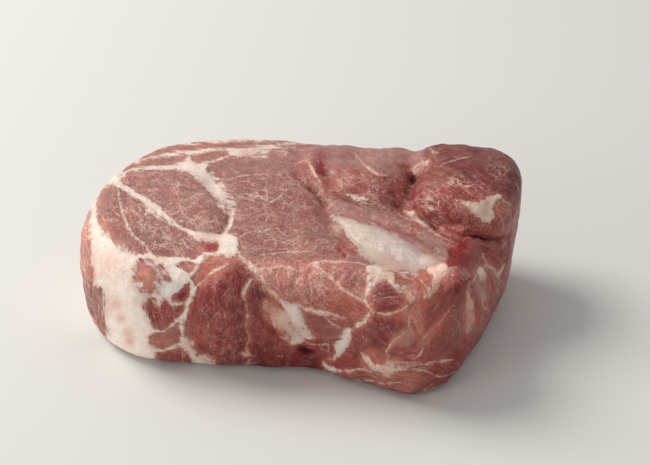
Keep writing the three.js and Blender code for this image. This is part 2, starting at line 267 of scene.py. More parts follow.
# The bone lies flush in a smooth slant of membrane, which goes on over the meat round it.
lens = [(330, 215), (341, 216.5), (356, 219.5), (372, 224), (388, 230), (400, 237), (412, 244),
        (427, 252), (440, 248), (450, 250), (448, 258), (440, 264), (428, 268), (416, 273), (396, 272),
        (380, 267), (369, 261), (358, 250), (350, 241), (343, 229)]
fatPatches = {
    "kneeTendon": [(281, 299), (290, 303), (299, 306), (304, 318), (309, 330), (314, 338), (306, 340),
                   (298, 334), (290, 322), (284, 311)],
    "kneeFat": [(264, 301), (270, 303), (276, 306), (285, 312), (292, 324), (300, 336), (303, 341),
                (296, 346), (287, 342), (279, 333), (271, 325), (267, 314), (262, 305)],
    "besideBone": [(393, 270), (405, 272), (418, 267), (430, 267), (441, 262), (448, 265), (450, 271),
                   (443, 273), (440, 281), (437, 290), (433, 291), (432, 282), (434, 275), (427, 270),
                   (416, 271), (404, 275), (398, 273)],
    "besideSmall": [(423, 290), (430, 288), (434, 292), (431, 298), (424, 298)],
    "underBone": [(367, 266), (384, 266), (392, 271), (396, 283), (387, 280), (379, 283), (371, 290)],
    "amongSmall": [(386, 276), (391, 277), (396, 283), (403, 288), (410, 292), (415, 298), (413, 304),
                   (408, 303), (404, 296), (397, 290), (390, 284)],
    "whiteStreak": [(345, 329), (351, 328), (351, 338), (347, 347), (342, 354), (335, 359), (329, 359),
                    (336, 353), (334, 345), (340, 337)],
    "cornerEdge": [(467, 290), (471, 298), (475, 312), (473, 324), (467, 334), (464, 328), (466, 310)],
    "notchFat": [(411, 169), (419, 163), (429, 161), (424, 167), (415, 174)],
    "lobePatch": [(455, 200), (466, 201.5), (480, 202), (487, 197), (498, 194.5), (503, 197), (496, 202),
                  (493, 208), (494.5, 216), (491, 222), (485, 223.5), (478, 218), (470, 210),
                  (462, 204)],
    "slitRidge": [(403, 210), (412, 211), (420, 218), (430, 226), (423, 225), (413, 218)],
    "lobeBit": [(346, 193.5), (360, 196.5), (370, 199), (362, 201), (352, 199)],
    "flapFat": [(322, 362), (329, 366), (337, 370), (334, 373), (326, 370)],
    "lens": lens,
    "spindle": [(250, 279), (244, 287), (242, 293), (246, 297), (248, 290), (252, 281)],
    "endBand": [(478, 270), (484, 269), (486, 285), (485, 300), (480, 303), (478, 290)],
    "frontFilm": [(362, 354), (368, 358), (379, 367), (388, 362), (396, 359), (401, 366), (396, 371),
                  (386, 375), (376, 370), (368, 363)],
}
# the flat cut face, smoother than the rest
cutFace = [(104, 192), (140, 166), (200, 158), (290, 158), (300, 180), (330, 214), (345, 248),
           (371, 266), (300, 262), (255, 256), (240, 240), (200, 256), (150, 252), (118, 238)]
# thin pale lines of fat and sinew: half width, then the path
paleLines = {
    "leftSeam": (1.3, [(118, 187), (121, 206), (126, 222), (134, 236), (145, 245), (152, 255)]),
    "middleLoop": (0.8, [(160, 225), (162, 231), (170, 239), (182, 244), (191, 240)]),
    "lowerLeftCurve": (1.4, [(151, 332), (165, 330), (177, 321), (186, 311), (190, 302)]),
    "lowestLeftCurve": (1.3, [(150, 350), (166, 350), (176, 345), (182, 343)]),
    "lowerLeftFleck": (0.6, [(153, 312), (155, 320), (156, 326)]),
    "sliverEdge": (1.0, [(150, 261), (154, 268), (157, 277), (158, 288), (158, 299), (160, 307)]),
    "darkSmallEdge": (0.8, [(171, 299), (175, 303), (181, 304), (186, 301)]),
    "cornerLine": (0.8, [(181, 348), (183, 358), (181, 366)]),
    "kneeSeam": (3.4, [(237, 250), (245, 261), (256, 271), (266, 285), (274, 295), (284, 303)]),
    "underKnob": (2.0, [(187, 279), (194, 272), (201, 262), (207, 258)]),
    "knobBand": (1.8, [(195, 289), (203, 281), (210, 274), (219, 269), (230, 264)]),
    "domeSeam": (1.2, [(251, 279), (244, 290), (245, 300), (248, 312), (246, 326), (249.5, 338),
                       (246, 347), (250, 356), (247, 366)]),
    "domeFork": (1.4, [(241, 354), (247, 354.5), (253, 356)]),
    "domeFibreOne": (0.6, [(213, 287), (218, 281)]),
    "domeFibreTwo": (0.6, [(222, 297), (226, 292), (230, 288)]),
    "domeFibreThree": (0.7, [(207, 330), (210, 322), (218, 313)]),
    "domeFoot": (0.7, [(225, 365), (240, 365.5), (258, 362)]),
    "stripFoot": (2.4, [(283, 301), (300, 306), (320, 312), (345, 317)]),
    "stripFootLow": (1.0, [(320, 313), (330, 321), (340, 327), (347, 329)]),
    "kneeFoot": (1.0, [(281, 337), (290, 341), (297, 344)]),
    "hollowLip": (0.8, [(303, 340), (314, 345), (330, 344)]),
    "smallCurl": (0.9, [(321, 349), (322, 345.5), (326, 344), (329, 347), (328, 351)]),
    "stripSeam": (1.9, [(313, 264), (323, 271), (337, 283), (350, 294), (366, 302)]),
    "stripBranch": (0.9, [(320, 267), (321, 274), (323, 281)]),
    "uprightSeam": (2.2, [(371, 271), (369, 280), (369, 290), (366, 298), (368, 305), (374, 311)]),
    "uprightFoot": (2.5, [(372, 309), (367, 318), (359, 324), (352, 330)]),
    "roundFoot": (1.5, [(376, 312), (388, 314), (399, 311), (409, 305), (415, 299), (421, 295)]),
    "roundStripeOne": (0.6, [(372, 298), (380, 293)]),
    "roundStripeTwo": (0.5, [(372, 302), (383, 297.5), (396, 297), (403, 299)]),
    "smallSeamOne": (1.0, [(400, 274), (406, 278), (413, 279), (419, 276)]),
    "smallSeamTwo": (1.1, [(416, 272), (418, 278), (424, 284), (429, 289)]),
    "smallSeamThree": (0.9, [(409, 291), (417, 293), (425, 291)]),
    "longStreakOne": (0.55, [(350, 198), (366, 203), (383, 208), (398, 215)]),
    "longStreakTwo": (0.5, [(358, 204), (374, 209), (390, 214), (404, 221)]),
    "longStreakThree": (0.5, [(336, 197), (352, 205), (368, 210)]),
    "longStreakFour": (0.5, [(396, 222), (410, 228), (424, 235)]),
    "outerStreakOne": (0.7, [(85, 198), (81, 213), (79, 230), (82, 250), (85, 266)]),
    "outerStreakTwo": (0.6, [(88, 208), (86, 224), (86, 240), (89, 258)]),
    "outerStreakThree": (0.6, [(79, 246), (82, 262), (87, 278), (90, 292)]),
    "outerStreakFour": (0.6, [(84, 284), (90, 300), (95, 316)]),
    "outerStreakFive": (0.5, [(97, 292), (98, 306), (100, 322)]),
    "capStreakOne": (0.7, [(104, 290), (104, 306), (107, 324), (106, 338)]),
    "eyeVeinOne": (0.6, [(173, 177), (172, 184), (177, 193), (179, 200), (181, 209), (187, 218),
                         (193, 220), (198, 228)]),
    "eyeVeinTwo": (0.5, [(177, 193), (180, 190), (184, 188)]),
    "eyeVeinThree": (0.5, [(193, 220), (199, 218), (206, 213)]),
    "eyeVeinFour": (0.5, [(200, 220), (208, 222), (215, 222)]),
    "cornerFlap": (1.5, [(467, 291), (471, 300), (474, 313), (473, 325)]),
    "blockEdge": (1.0, [(421, 296), (415, 305), (411, 315), (409, 322), (408, 331)]),
    "blockSeam": (1.3, [(450, 309), (443, 318), (436, 325), (430, 331), (424, 338), (418, 346)]),
    "blockArc": (0.8, [(444, 319), (449, 316), (455, 318), (459, 326), (460, 337)]),
    "blockLow": (1.0, [(424, 345), (421, 352), (417, 357), (412, 359)]),
    "frontSeam": (1.5, [(386, 351), (390, 345), (397, 338), (404, 333), (409, 330)]),
    "frontBand": (2.0, [(386, 350), (388, 357), (387, 364), (390, 371)]),
    "creamSeam": (1.6, [(360, 353), (366, 361), (373, 368), (382, 373), (391, 379)]),
    "flapSeam": (1.5, [(325, 364), (333, 370), (346, 370.5), (360, 369), (369, 371), (378, 374.5)]),
    "flapSeamLow": (1.1, [(352, 380), (361, 380), (375, 382), (388, 383.5), (400, 383)]),
    "lowFlapTop": (1.0, [(392, 372), (405, 369), (424, 370), (434, 375), (444, 376), (455, 371)]),
    "darkMuscleTop": (1.5, [(418, 366), (428, 363), (440, 361), (451, 360)]),
    "filmLineOne": (0.7, [(394, 362), (406, 362), (420, 363)]),
    "filmLineTwo": (0.7, [(396, 366), (410, 366), (424, 364.5)]),
    "rimOne": (1.2, [(421, 391), (430, 389), (441, 385)]),
    "rimTwo": (1.4, [(424, 395), (433, 392), (443, 387)]),
    "stripTop": (1.5, [(252, 270), (262, 269), (272, 267.5), (288, 267), (296, 270), (304, 270),
                       (311, 264), (326, 262), (350, 262), (364, 265)]),
    "stripTuftOne": (1.2, [(266, 267), (270, 271), (271, 276)]),
    "stripTuftTwo": (1.3, [(284, 266), (288, 271), (289, 277)]),
    "stripTuftThree": (1.0, [(303, 269), (301, 274), (303, 280)]),
    "stripStrokeOne": (0.6, [(296, 272), (297, 280), (295, 288)]),
    "stripStrokeTwo": (0.6, [(277, 273), (278, 281), (281, 289)]),
    "stripStrokeThree": (0.6, [(311, 277), (312, 285), (311, 293)]),
    "topOne": (0.7, [(226, 179), (243, 176), (262, 174.5), (271, 176)]),
    "topTwo": (0.8, [(255, 190), (262, 198), (273, 202), (281, 195.5), (289, 188)]),
    "topThree": (0.7, [(241, 195), (248, 194), (257, 198)]),
    "topFour": (0.6, [(283, 203), (288, 204), (291, 209)]),
    "topFive": (0.7, [(240, 238), (250, 232), (264, 231), (278, 228)]),
    "topSix": (0.9, [(257, 262), (259, 256), (268, 254), (290, 252), (310, 251), (319, 243.5)]),
    "topSeven": (0.7, [(285, 246), (292, 241), (299, 238)]),
    "topEight": (0.7, [(332, 248), (338, 242)]),
    "rimPale": (0.9, [(285, 144.5), (300, 144), (321, 144)]),
    "pocketEdge": (0.9, [(293, 171), (297, 164), (303, 160), (311, 154)]),
    "pocketTendon": (1.7, [(301, 161), (308, 161), (312, 169), (316, 176), (321, 183)]),
    "slitEdge": (1.1, [(400, 215), (408, 218), (416, 221), (424, 225), (437, 234), (451, 240)]),
    "lobeThread": (0.7, [(370, 200), (378, 204), (387, 208), (400, 214)]),
    "rearSliver": (1.5, [(356, 155), (364, 164), (372, 171), (380, 175.5), (387, 176)]),
    "rearShort": (0.7, [(330, 171), (336, 175)]),
    "cornerSliver": (1.1, [(426, 143), (431, 149), (434, 153), (439, 153.5)]),
    "lobeRidge": (0.8, [(471, 156), (460, 158), (450, 161), (440, 165)]),
    "lobeFleckOne": (0.7, [(451, 178), (462, 181.5)]),
    "lobeFleckTwo": (0.8, [(457, 182), (464, 186), (470, 186), (475, 183.5)]),
    "lobeFleckThree": (0.8, [(473, 175), (480, 181), (485, 186), (490, 190)]),
    "lobeFleckFour": (1.0, [(417, 198), (424, 200), (432, 200), (438, 205)]),
    "lobeFleckFive": (0.9, [(418, 203), (424, 206), (432, 208.5), (439, 210)]),
    "lobePale": (1.0, [(499, 197), (505, 201), (511, 206)]),
    "endOne": (1.4, [(481, 252), (487, 265), (493, 269), (496, 275), (500, 281)]),
    "endTwo": (1.3, [(487, 265), (481, 268), (476, 273), (473, 281)]),
    "endThree": (1.3, [(482, 298), (484, 307), (489, 311)]),
    "endFour": (1.3, [(504, 264), (499, 272), (496, 279)]),
    "endFive": (0.8, [(500, 280), (497, 288), (499, 297)]),
    "lensLow": (1.3, [(371, 262), (380, 266.5), (390, 269), (400, 273), (416, 273.5), (426, 268)]),
    "seamSouth": (1.6, [(183, 337), (188, 341), (193, 349), (196, 353)]),
}
# creases, slits and hollows: half width, depth, then the path; the deeper ones are also painted with shade
creases = {
    "eyeSlit": (1.9, 2.2, [(231, 212), (229, 220), (226, 226), (222, 231), (217, 232.5)]),
    "eyeNick": (0.9, 0.6, [(216, 179), (219, 184)]),
    "crook": (1.9, 3.2, [(298, 176), (306, 183), (314, 191), (321, 201), (326, 208), (330, 214)]),
    "lobeSlit": (1.1, 2.3, [(401, 212), (412, 217), (424, 222.5), (436, 229.5), (448, 234), (462, 240)]),
    "underLobe": (1.6, 3.8, [(460, 236), (468, 233), (478, 236), (486, 240), (496, 240), (508, 238)]),
    "notchUpper": (2.2, 4.4, [(411, 171), (411.5, 177), (410, 184)]),
    "notchLower": (2.2, 2.8, [(410, 184), (408, 191), (409, 199)]),
    "lobeHollow": (2.2, 1.6, [(385, 203), (394, 204.5), (404, 207), (413, 210)]),
    "rearSeam": (1.2, 0.9, [(325, 188), (334, 190.5), (346, 193)]),
    "tendonSlit": (1.4, 1.8, [(326, 315), (332, 317), (339, 318.5)]),
    "kneeUnder": (1.5, 1.6, [(268, 322), (273, 330), (280, 336)]),
    "hollow": (2.2, 3.6, [(297, 347), (303, 350), (308, 353), (315, 353)]),
    "lobeFold": (3.4, 0.9, [(423, 178), (431, 173.5), (441, 170), (452, 168), (463, 163)]),
    "patchFold": (2.4, 0.5, [(492, 199), (488, 205), (487, 212), (482, 219)]),
    "knobSideOne": (1.6, 1.6, [(467, 272), (468, 278)]),
    "knobSideTwo": (1.8, 1.6, [(469, 282), (471, 289)]),
    "triangleEnd": (1.4, 1.4, [(347, 330), (344, 336), (339, 340)]),
    "dotLow": (1.5, 1.6, [(196, 350), (197, 355)]),
    "frontDot": (1.6, 1.2, [(358, 352), (359, 358)]),
    "frontFold": (1.3, 0.9, [(378, 327), (387, 324.5), (396, 325)]),
    "blockNick": (1.2, 1.0, [(413, 345), (420, 344), (426, 346)]),
    "lensTop": (0.9, 0.7, [(412, 244), (426, 251.5), (440, 251), (451, 246)]),
    "stripTop": (1.0, 0.7, [(337, 240), (350, 248), (359, 256), (369, 263)]),
    "domeLeft": (1.2, 1.2, [(199, 290), (194, 303), (190, 318), (189, 332), (196, 345)]),
    "edgeRight": (1.2, 1.0, [(470, 292), (475, 305), (477, 318), (474, 332)]),
    "smallGap": (1.0, 0.6, [(390, 283), (399, 287), (406, 292)]),
}
print("outlines read")

fatBase = (240, 222, 207)   # screen colour of plain fat
# screen colours of the lean
leanTones = {
    "pale": (148, 98, 87),
    "rose": (141, 89, 79),
    "wavy": (182, 120, 106),
    "brown": (136, 62, 54),
    "lobe": (104, 28, 24),
    "wavyRed": (166, 100, 86),
    "orange": (176, 100, 82),
    "mauve": (144, 92, 82),
    "end": (160, 64, 54),
    "dark": (138, 44, 39),
    "deep": (114, 24, 22),
}
# tone, marbling, silverskin, the run of the fibres in the photo, and where the muscle shows
muscles = {
    "eye": ("pale", 1.0, 0.0, (0.8, 0.6), [(145, 180), (175, 190), (205, 212)]),
    "middle": ("rose", 1.0, 0.0, (0.7, 0.7), [(135, 208), (155, 230), (182, 250)]),
    "left": ("rose", 0.5, 0.0, (0.3, 1.0), [(108, 205), (120, 235)]),
    "rim": ("pale", 0.4, 0.2, (1.0, 0.1), [(150, 152), (200, 147), (240, 145), (150, 162), (210, 157)]),
    "topBack": ("mauve", 0.6, 0.55, (1.0, 0.1), [(290, 155), (262, 160)]),
    "top": ("rose", 0.9, 0.0, (1.0, 0.2), [(240, 185), (270, 190), (255, 215), (285, 215), (235, 215)]),
    "topMiddle": ("rose", 0.8, 0.0, (1.0, 0.3), [(300, 225), (310, 200), (275, 240), (310, 240)]),
    "topFront": ("rose", 0.8, 0.0, (1.0, 0.5), [(255, 250), (290, 255), (330, 250)]),
    "besideLens": ("rose", 0.5, 0.0, (0.8, 0.7), [(325, 225), (345, 248), (358, 262)]),
    "rearFilm": ("mauve", 0.3, 0.8, (1.0, 0.3), [(325, 155), (350, 157), (375, 160), (395, 162)]),
    "rearLobe": ("brown", 0.5, 0.1, (0.9, 0.4), [(340, 180), (365, 186), (388, 190)]),
    "rearFoot": ("brown", 0.4, 0.3, (0.9, 0.4), [(345, 197), (372, 207)]),
    "corner": ("lobe", 0.15, 0.0, (1.0, 0.2), [(430, 172), (455, 170), (480, 172), (500, 175)]),
    "cornerFront": ("dark", 0.55, 0.0, (0.8, 0.6), [(425, 195), (440, 215), (465, 192), (500, 215)]),
    "cornerTop": ("lobe", 0.15, 0.2, (1.0, 0.2), [(420, 150), (450, 150), (480, 158)]),
    "longMuscle": ("mauve", 0.6, 0.3, (0.93, 0.36), [(345, 208), (375, 217), (405, 232), (435, 243)]),
    "underLobe": ("dark", 0.4, 0.0, (1.0, 0.3), [(480, 250), (500, 252), (470, 243)]),
    "end": ("end", 0.4, 0.3, (0.3, 1.0), [(475, 275), (490, 285), (500, 300), (480, 320)]),
    "endDeep": ("dark", 0.2, 0.3, (0.2, 1.0), [(476, 262), (474, 305), (474, 340)]),
    "strip": ("wavy", 1.0, 0.0, (0.25, 1.0), [(280, 285), (300, 290), (325, 300), (300, 275),
        (270, 275)]),
    "stripRight": ("wavyRed", 0.9, 0.0, (0.7, -0.7), [(340, 275), (358, 285), (345, 262)]),
    "stripLow": ("orange", 0.4, 0.0, (0.9, 0.4), [(350, 304), (362, 308), (335, 300)]),
    "dome": ("dark", 0.35, 0.0, (0.15, 1.0), [(215, 295), (225, 320), (235, 290), (230, 350),
        (205, 335)]),
    "domeRight": ("deep", 0.2, 0.0, (0.2, 1.0), [(262, 310), (268, 345), (262, 290), (290, 355)]),
    "hollowWall": ("deep", 0.1, 0.0, (1.0, 0.2), [(310, 358), (298, 360)]),
    "kneeBelow": ("dark", 0.2, 0.0, (1.0, 0.2), [(265, 335), (285, 346)]),
    "triangle": ("brown", 0.2, 0.4, (1.0, 0.1), [(325, 332), (318, 322), (338, 333)]),
    "underTriangle": ("dark", 0.3, 0.0, (0.7, 0.5), [(320, 352), (330, 350)]),
    "smallFront": ("dark", 0.2, 0.0, (0.9, 0.3), [(338, 363), (346, 356)]),
    "front": ("brown", 0.3, 0.0, (0.2, 1.0), [(357, 340), (360, 352), (366, 330)]),
    "frontDark": ("deep", 0.2, 0.0, (0.5, 0.8), [(380, 320), (388, 335), (376, 340), (396, 325)]),
    "frontWedge": ("orange", 0.2, 0.0, (0.3, 1.0), [(370, 355), (376, 363)]),
    "knee": ("orange", 0.3, 0.0, (0.55, 0.83), [(285, 318), (300, 330), (274, 310)]),
    "round": ("deep", 0.1, 0.0, (1.0, -0.15), [(388, 288), (390, 303)]),
    "smallOne": ("brown", 0.2, 0.0, (1.0, 0.3), [(396, 278), (409, 282)]),
    "smallTwo": ("orange", 0.3, 0.0, (0.4, 1.0), [(424, 277), (420, 288)]),
    "blockOrange": ("orange", 0.3, 0.0, (0.3, 1.0), [(418, 310), (418, 325), (405, 318), (415, 335)]),
    "blockUpper": ("dark", 0.2, 0.2, (0.6, -0.7), [(435, 310), (428, 322), (445, 300)]),
    "block": ("dark", 0.2, 0.3, (0.5, -0.8), [(445, 335), (450, 325), (440, 350)]),
    "blockFoot": ("dark", 0.3, 0.0, (1.0, -0.1), [(400, 354), (425, 355), (415, 350)]),
    "darkFoot": ("dark", 0.2, 0.0, (1.0, -0.1), [(438, 367), (455, 362)]),
    "flap": ("brown", 0.3, 0.0, (1.0, 0.1), [(355, 375), (375, 378), (340, 373)]),
    "lowFlap": ("brown", 0.3, 0.0, (1.0, 0.0), [(405, 377), (430, 380), (395, 388), (375, 386),
        (420, 386)]),
    "lowRim": ("orange", 0.3, 0.0, (1.0, -0.2), [(430, 391)]),
    "leftLow": ("dark", 0.4, 0.0, (0.25, 1.0), [(165, 312), (150, 315), (176, 312)]),
    "leftLowest": ("rose", 0.4, 0.0, (0.9, 0.3), [(165, 340), (175, 332)]),
    "leftEdge": ("rose", 0.6, 0.0, (0.15, 1.0), [(96, 310), (90, 250), (88, 215)]),
    "leftSmall": ("rose", 0.3, 0.0, (0.7, 0.6), [(190, 267), (150, 278), (160, 272)]),
    "leftDark": ("deep", 0.2, 0.0, (0.7, -0.5), [(181, 294)]),
    "orangeSmall": ("orange", 0.3, 0.0, (0.8, 0.3), [(208, 268), (215, 260)]),
    "cornerLeft": ("dark", 0.3, 0.0, (0.5, 0.7), [(170, 358), (189, 362)]),
}
# what the camera doesn't see: tone, marbling, silverskin, fibres and places in mm
hiddenMuscles = {
    "backLeft": ("rose", 0.5, 0.3, (1, 0, 0.2), [(-70, 75, 40), (-90, 60, 20)]),
    "backMiddle": ("rose", 0.5, 0.4, (1, 0, 0.3), [(-20, 85, 45), (10, 85, 20)]),
    "backLow": ("brown", 0.4, 0.2, (1, 0, -0.1), [(-30, 85, 12), (50, 85, 14)]),
    "backRight": ("brown", 0.4, 0.5, (0.8, 0, 0.5), [(45, 85, 50), (85, 80, 55)]),
    "backCorner": ("dark", 0.4, 0.2, (0.5, 0.2, 0.8), [(110, 70, 40), (80, 80, 20)]),
    "farEnd": ("end", 0.5, 0.5, (0, 0.9, 0.4), [(132, 20, 30), (130, 40, 50)]),
    "farEndLow": ("dark", 0.3, 0.2, (0, 1, 0), [(132, 0, 12), (125, -40, 15)]),
    "under": ("brown", 0.3, 0.0, (1, 0.2, 0), [(-80, 0, 0), (0, 0, 0), (80, 10, 0), (0, 50, 0),
        (20, -50, 0)]),
}
# soft spots of another colour: x, y, radius, screen colour and share
leanSpots = [
    (337, 229, 5, (196, 158, 130), 0.8), (444, 318, 6, (182, 112, 92), 0.8),
    (436, 327, 6, (182, 112, 92), 0.7), (428, 335, 6, (180, 108, 88), 0.7),
    (421, 343, 5, (176, 104, 86), 0.6), (415, 320, 8, (186, 108, 82), 0.7),
    (408, 335, 7, (190, 130, 108), 0.7), (410, 350, 10, (150, 62, 58), 0.6),
    (209, 247, 8, (150, 50, 44), 0.8), (406, 326, 7, (128, 44, 46), 0.6),
    (300, 303, 11, (150, 58, 50), 0.8), (322, 308, 11, (150, 56, 48), 0.8),
    (341, 312, 9, (148, 58, 50), 0.7), (500, 209, 8, (198, 112, 84), 0.9),
    (503, 228, 8, (176, 116, 100), 0.6), (412, 232, 9, (150, 62, 56), 0.5),
    (284, 293, 9, (170, 90, 74), 0.5), (160, 315, 8, (140, 44, 44), 0.6),
    (167, 338, 9, (160, 84, 72), 0.6), (320, 165, 8, (112, 34, 34), 1.0),
    (321, 156, 6, (122, 44, 42), 0.9), (321, 174, 6, (100, 28, 28), 1.0),
    (300, 168, 7, (142, 66, 48), 0.9), (307, 174, 5, (130, 60, 50), 0.7),
    (404, 172, 10, (150, 72, 64), 0.6), (411, 185, 9, (112, 32, 30), 0.9),
    (398, 190, 11, (152, 74, 66), 0.6), (405, 200, 9, (126, 48, 44), 0.7),
    (418, 190, 8, (128, 50, 46), 0.5), (457, 240, 12, (128, 40, 38), 0.8),
    (146, 276, 13, (206, 138, 118), 0.8), (152, 284, 8, (214, 140, 112), 0.6),
    (155, 308, 10, (150, 56, 52), 0.7), (300, 250, 14, (178, 110, 92), 0.4),
    (470, 172, 22, (106, 28, 26), 0.5), (502, 182, 18, (120, 28, 26), 0.7),
    (440, 232, 9, (150, 70, 62), 0.5), (190, 158, 12, (200, 150, 135), 0.5),
    (105, 228, 9, (190, 115, 85), 0.6), (128, 212, 8, (190, 120, 95), 0.4),
    (330, 182, 12, (190, 115, 88), 0.4), (352, 184, 14, (180, 105, 84), 0.35),
    (437, 173, 14, (172, 98, 76), 0.4), (345, 247, 8, (170, 70, 60), 0.6),
    (300, 190, 6, (150, 100, 85), 0.4), (318, 206, 7, (140, 90, 75), 0.5),
    (425, 246, 13, (150, 105, 95), 0.8), (205, 330, 9, (165, 85, 65), 0.5),
    (245, 320, 16, (125, 55, 52), 0.5), (235, 362, 20, (105, 42, 42), 0.5),
    (285, 336, 12, (165, 75, 58), 0.6), (480, 247, 12, (150, 70, 52), 0.5),
    (412, 300, 8, (180, 95, 70), 0.4), (433, 303, 8, (170, 90, 70), 0.4),
    (155, 340, 8, (180, 110, 75), 0.6), (325, 300, 12, (170, 72, 60), 0.5),
    (300, 303, 9, (165, 66, 58), 0.5), (467, 340, 5, (190, 50, 40), 0.9),
    (470, 315, 4, (200, 120, 105), 0.6), (410, 377, 12, (175, 100, 75), 0.6),
    (392, 333, 8, (140, 60, 62), 0.5), (347, 155, 6, (125, 75, 70), 0.6),
    (222, 188, 4, (170, 85, 80), 0.6), (505, 215, 8, (150, 105, 95), 0.5),
    (321, 160, 9, (122, 40, 38), 1.0), (321, 172, 9, (108, 30, 30), 1.0),
    (303, 170, 10, (138, 64, 50), 0.9), (310, 177, 7, (122, 54, 46), 0.8),
    (224, 190, 8, (190, 140, 136), 0.9), (84, 232, 14, (224, 170, 153), 0.9),
    (86, 206, 11, (228, 180, 165), 0.8), (86, 262, 13, (210, 150, 134), 0.8),
    (146, 279, 12, (212, 148, 128), 0.9), (150, 265, 8, (182, 124, 120), 0.9),
    (166, 274, 9, (178, 122, 118), 0.9), (137, 281, 6, (190, 112, 90), 0.7),
    (410, 181, 8, (118, 28, 28), 0.8), (409, 194, 9, (134, 34, 34), 0.8),
    (400, 382, 18, (160, 92, 80), 0.5), (390, 298, 12, (112, 22, 18), 0.7),
    (386, 330, 14, (116, 20, 20), 0.4), (457, 262, 14, (124, 30, 30), 0.6),
]
# the same for the fat; the large pale spots at 128, 320 and 95, 325 are painted light on the fat cap's
# front-left face
fatSpots = [
    (434, 289, 8, (208, 160, 140), 0.9), (190, 342, 8, (210, 164, 146), 0.7),
    (440, 325, 26, (204, 142, 122), 0.85), (405, 338, 16, (200, 152, 132), 0.8),
    (412, 304, 13, (206, 152, 128), 0.8), (436, 284, 10, (216, 178, 158), 0.8),
    (383, 275, 9, (206, 176, 160), 0.7), (255, 320, 40, (206, 148, 132), 0.4),
    # painted light on the fat cap's front-left face: the spot at 128, 320 here, and at 95, 325 below
    (392, 300, 14, (200, 140, 122), 0.6), (128, 320, 45, (255, 238, 225), 1.0),
    (95, 325, 24, (250, 236, 224), 0.6), (117, 304, 6, (218, 168, 150), 0.7),
    (122, 318, 5, (214, 160, 140), 0.7), (128, 332, 6, (222, 170, 150), 0.6),
    (130, 341, 5, (208, 150, 132), 0.7), (108, 312, 6, (226, 184, 168), 0.5),
    (137, 300, 6, (228, 190, 174), 0.5), (84, 205, 9, (220, 176, 160), 0.7),
    (80, 230, 9, (214, 168, 152), 0.7), (86, 250, 9, (218, 176, 160), 0.7),
    (92, 275, 8, (222, 180, 164), 0.6), (488, 204, 5, (170, 136, 112), 0.7),
    (486, 213, 5, (176, 142, 118), 0.7), (150, 296, 7, (226, 186, 170), 0.6),
    (105, 262, 9, (238, 206, 190), 0.6), (170, 285, 10, (226, 222, 214), 0.8),
    (178, 292, 8, (228, 225, 220), 0.8), (342, 344, 8, (205, 205, 196), 0.7),
    (95, 200, 16, (236, 205, 190), 0.5), (85, 235, 12, (232, 196, 182), 0.6),
    (112, 262, 16, (226, 184, 170), 0.6), (112, 300, 10, (228, 190, 176), 0.5),
    (205, 240, 9, (214, 172, 158), 0.6), (215, 245, 5, (150, 70, 62), 0.5),
    (228, 245, 8, (232, 214, 200), 0.7), (120, 160, 14, (228, 196, 186), 0.6),
    (100, 182, 10, (232, 204, 190), 0.6), (195, 345, 9, (214, 178, 165), 0.6),
    (205, 362, 12, (214, 196, 172), 0.7), (296, 152, 14, (200, 162, 146), 0.7),
    (207, 181, 9, (208, 186, 172), 0.9), (419, 167, 9, (206, 168, 156), 0.9),
    (198, 170, 8, (216, 194, 182), 0.7), (227, 196, 9, (206, 178, 170), 0.9),
    (231, 212, 8, (206, 176, 164), 0.8), (222, 232, 7, (206, 176, 160), 0.6),
    (444, 274, 11, (210, 168, 150), 0.8), (428, 293, 7, (204, 160, 142), 0.7),
    (248, 153, 16, (205, 165, 152), 0.6), (469, 300, 10, (236, 186, 166), 0.9),
    (390, 365, 12, (205, 168, 160), 0.7), (478, 208, 18, (212, 184, 160), 0.7),
    (435, 280, 10, (216, 190, 168), 0.7), (297, 318, 9, (222, 212, 200), 0.8),
    (306, 332, 7, (214, 204, 192), 0.8), (270, 310, 11, (196, 134, 114), 0.9),
    (280, 326, 8, (206, 150, 130), 0.7), (285, 332, 9, (206, 158, 132), 0.6),
    (470, 320, 14, (216, 134, 118), 0.9), (372, 278, 8, (214, 184, 172), 0.8),
    (388, 274, 8, (208, 180, 156), 0.8), (483, 290, 14, (170, 130, 112), 0.9),
    (406, 296, 8, (190, 145, 130), 0.8), (155, 267, 9, (222, 190, 172), 0.6),
    (306, 272, 9, (205, 160, 140), 0.6),
]
# where fat and lean are drawn into each other: x, y, radius, and mm into the fat
mixedSpots = [
    (85, 200, 7, 0.2), (83, 212, 8, 0.0), (82, 226, 8, -0.1), (82, 240, 8, -0.1), (83, 254, 8, -0.2),
    (85, 268, 8, -0.3), (89, 280, 7, -0.2), (268, 304, 6, 0.0), (266, 314, 6, 0.0), (276, 322, 6, 0.1),
    (284, 334, 6, 0.1), (278, 312, 5, 0.4), (290, 338, 5, 0.2), (104, 300, 5, 0.4), (154, 282, 7, 0.3),
    (140, 284, 9, 0.3), (147, 264, 8, 0.1), (162, 268, 7, 0.2), (135, 272, 6, 0.3), (158, 292, 6, 0.2),
    (154, 302, 4, 0.4), (120, 172, 7, 0.3), (262, 152, 10, 0.5), (286, 152, 10, 0.2), (302, 330, 7, 0.6),
    (218, 182, 4, 0.3), (224, 189, 4.5, 0.1), (230, 198, 4.5, 0.2), (232, 208, 4, 0.5),
    (213, 172, 5, 0.5), (190, 342, 6, 0.7), (436, 286, 5, 0.2), (427, 294, 4, 0.3), (384, 368, 7, 0.2),
    (398, 366, 7, 0.1), (372, 280, 6, 0.3), (404, 290, 6, 0.3), (420, 168, 6, 0.4), (482, 285, 7, 0.2),
    (470, 312, 5, 0.2), (208, 362, 7, 0.5), (442, 276, 5, 0.4), (385, 276, 6, 0.5), (405, 272, 6, 0.5),
    (432, 270, 5, 0.4), (125, 247, 8, 0.0), (108, 232, 6, 0.2), (148, 212, 6, 0.8), (170, 221, 5, 0.6),
    (220, 205, 5, 0.8),
]
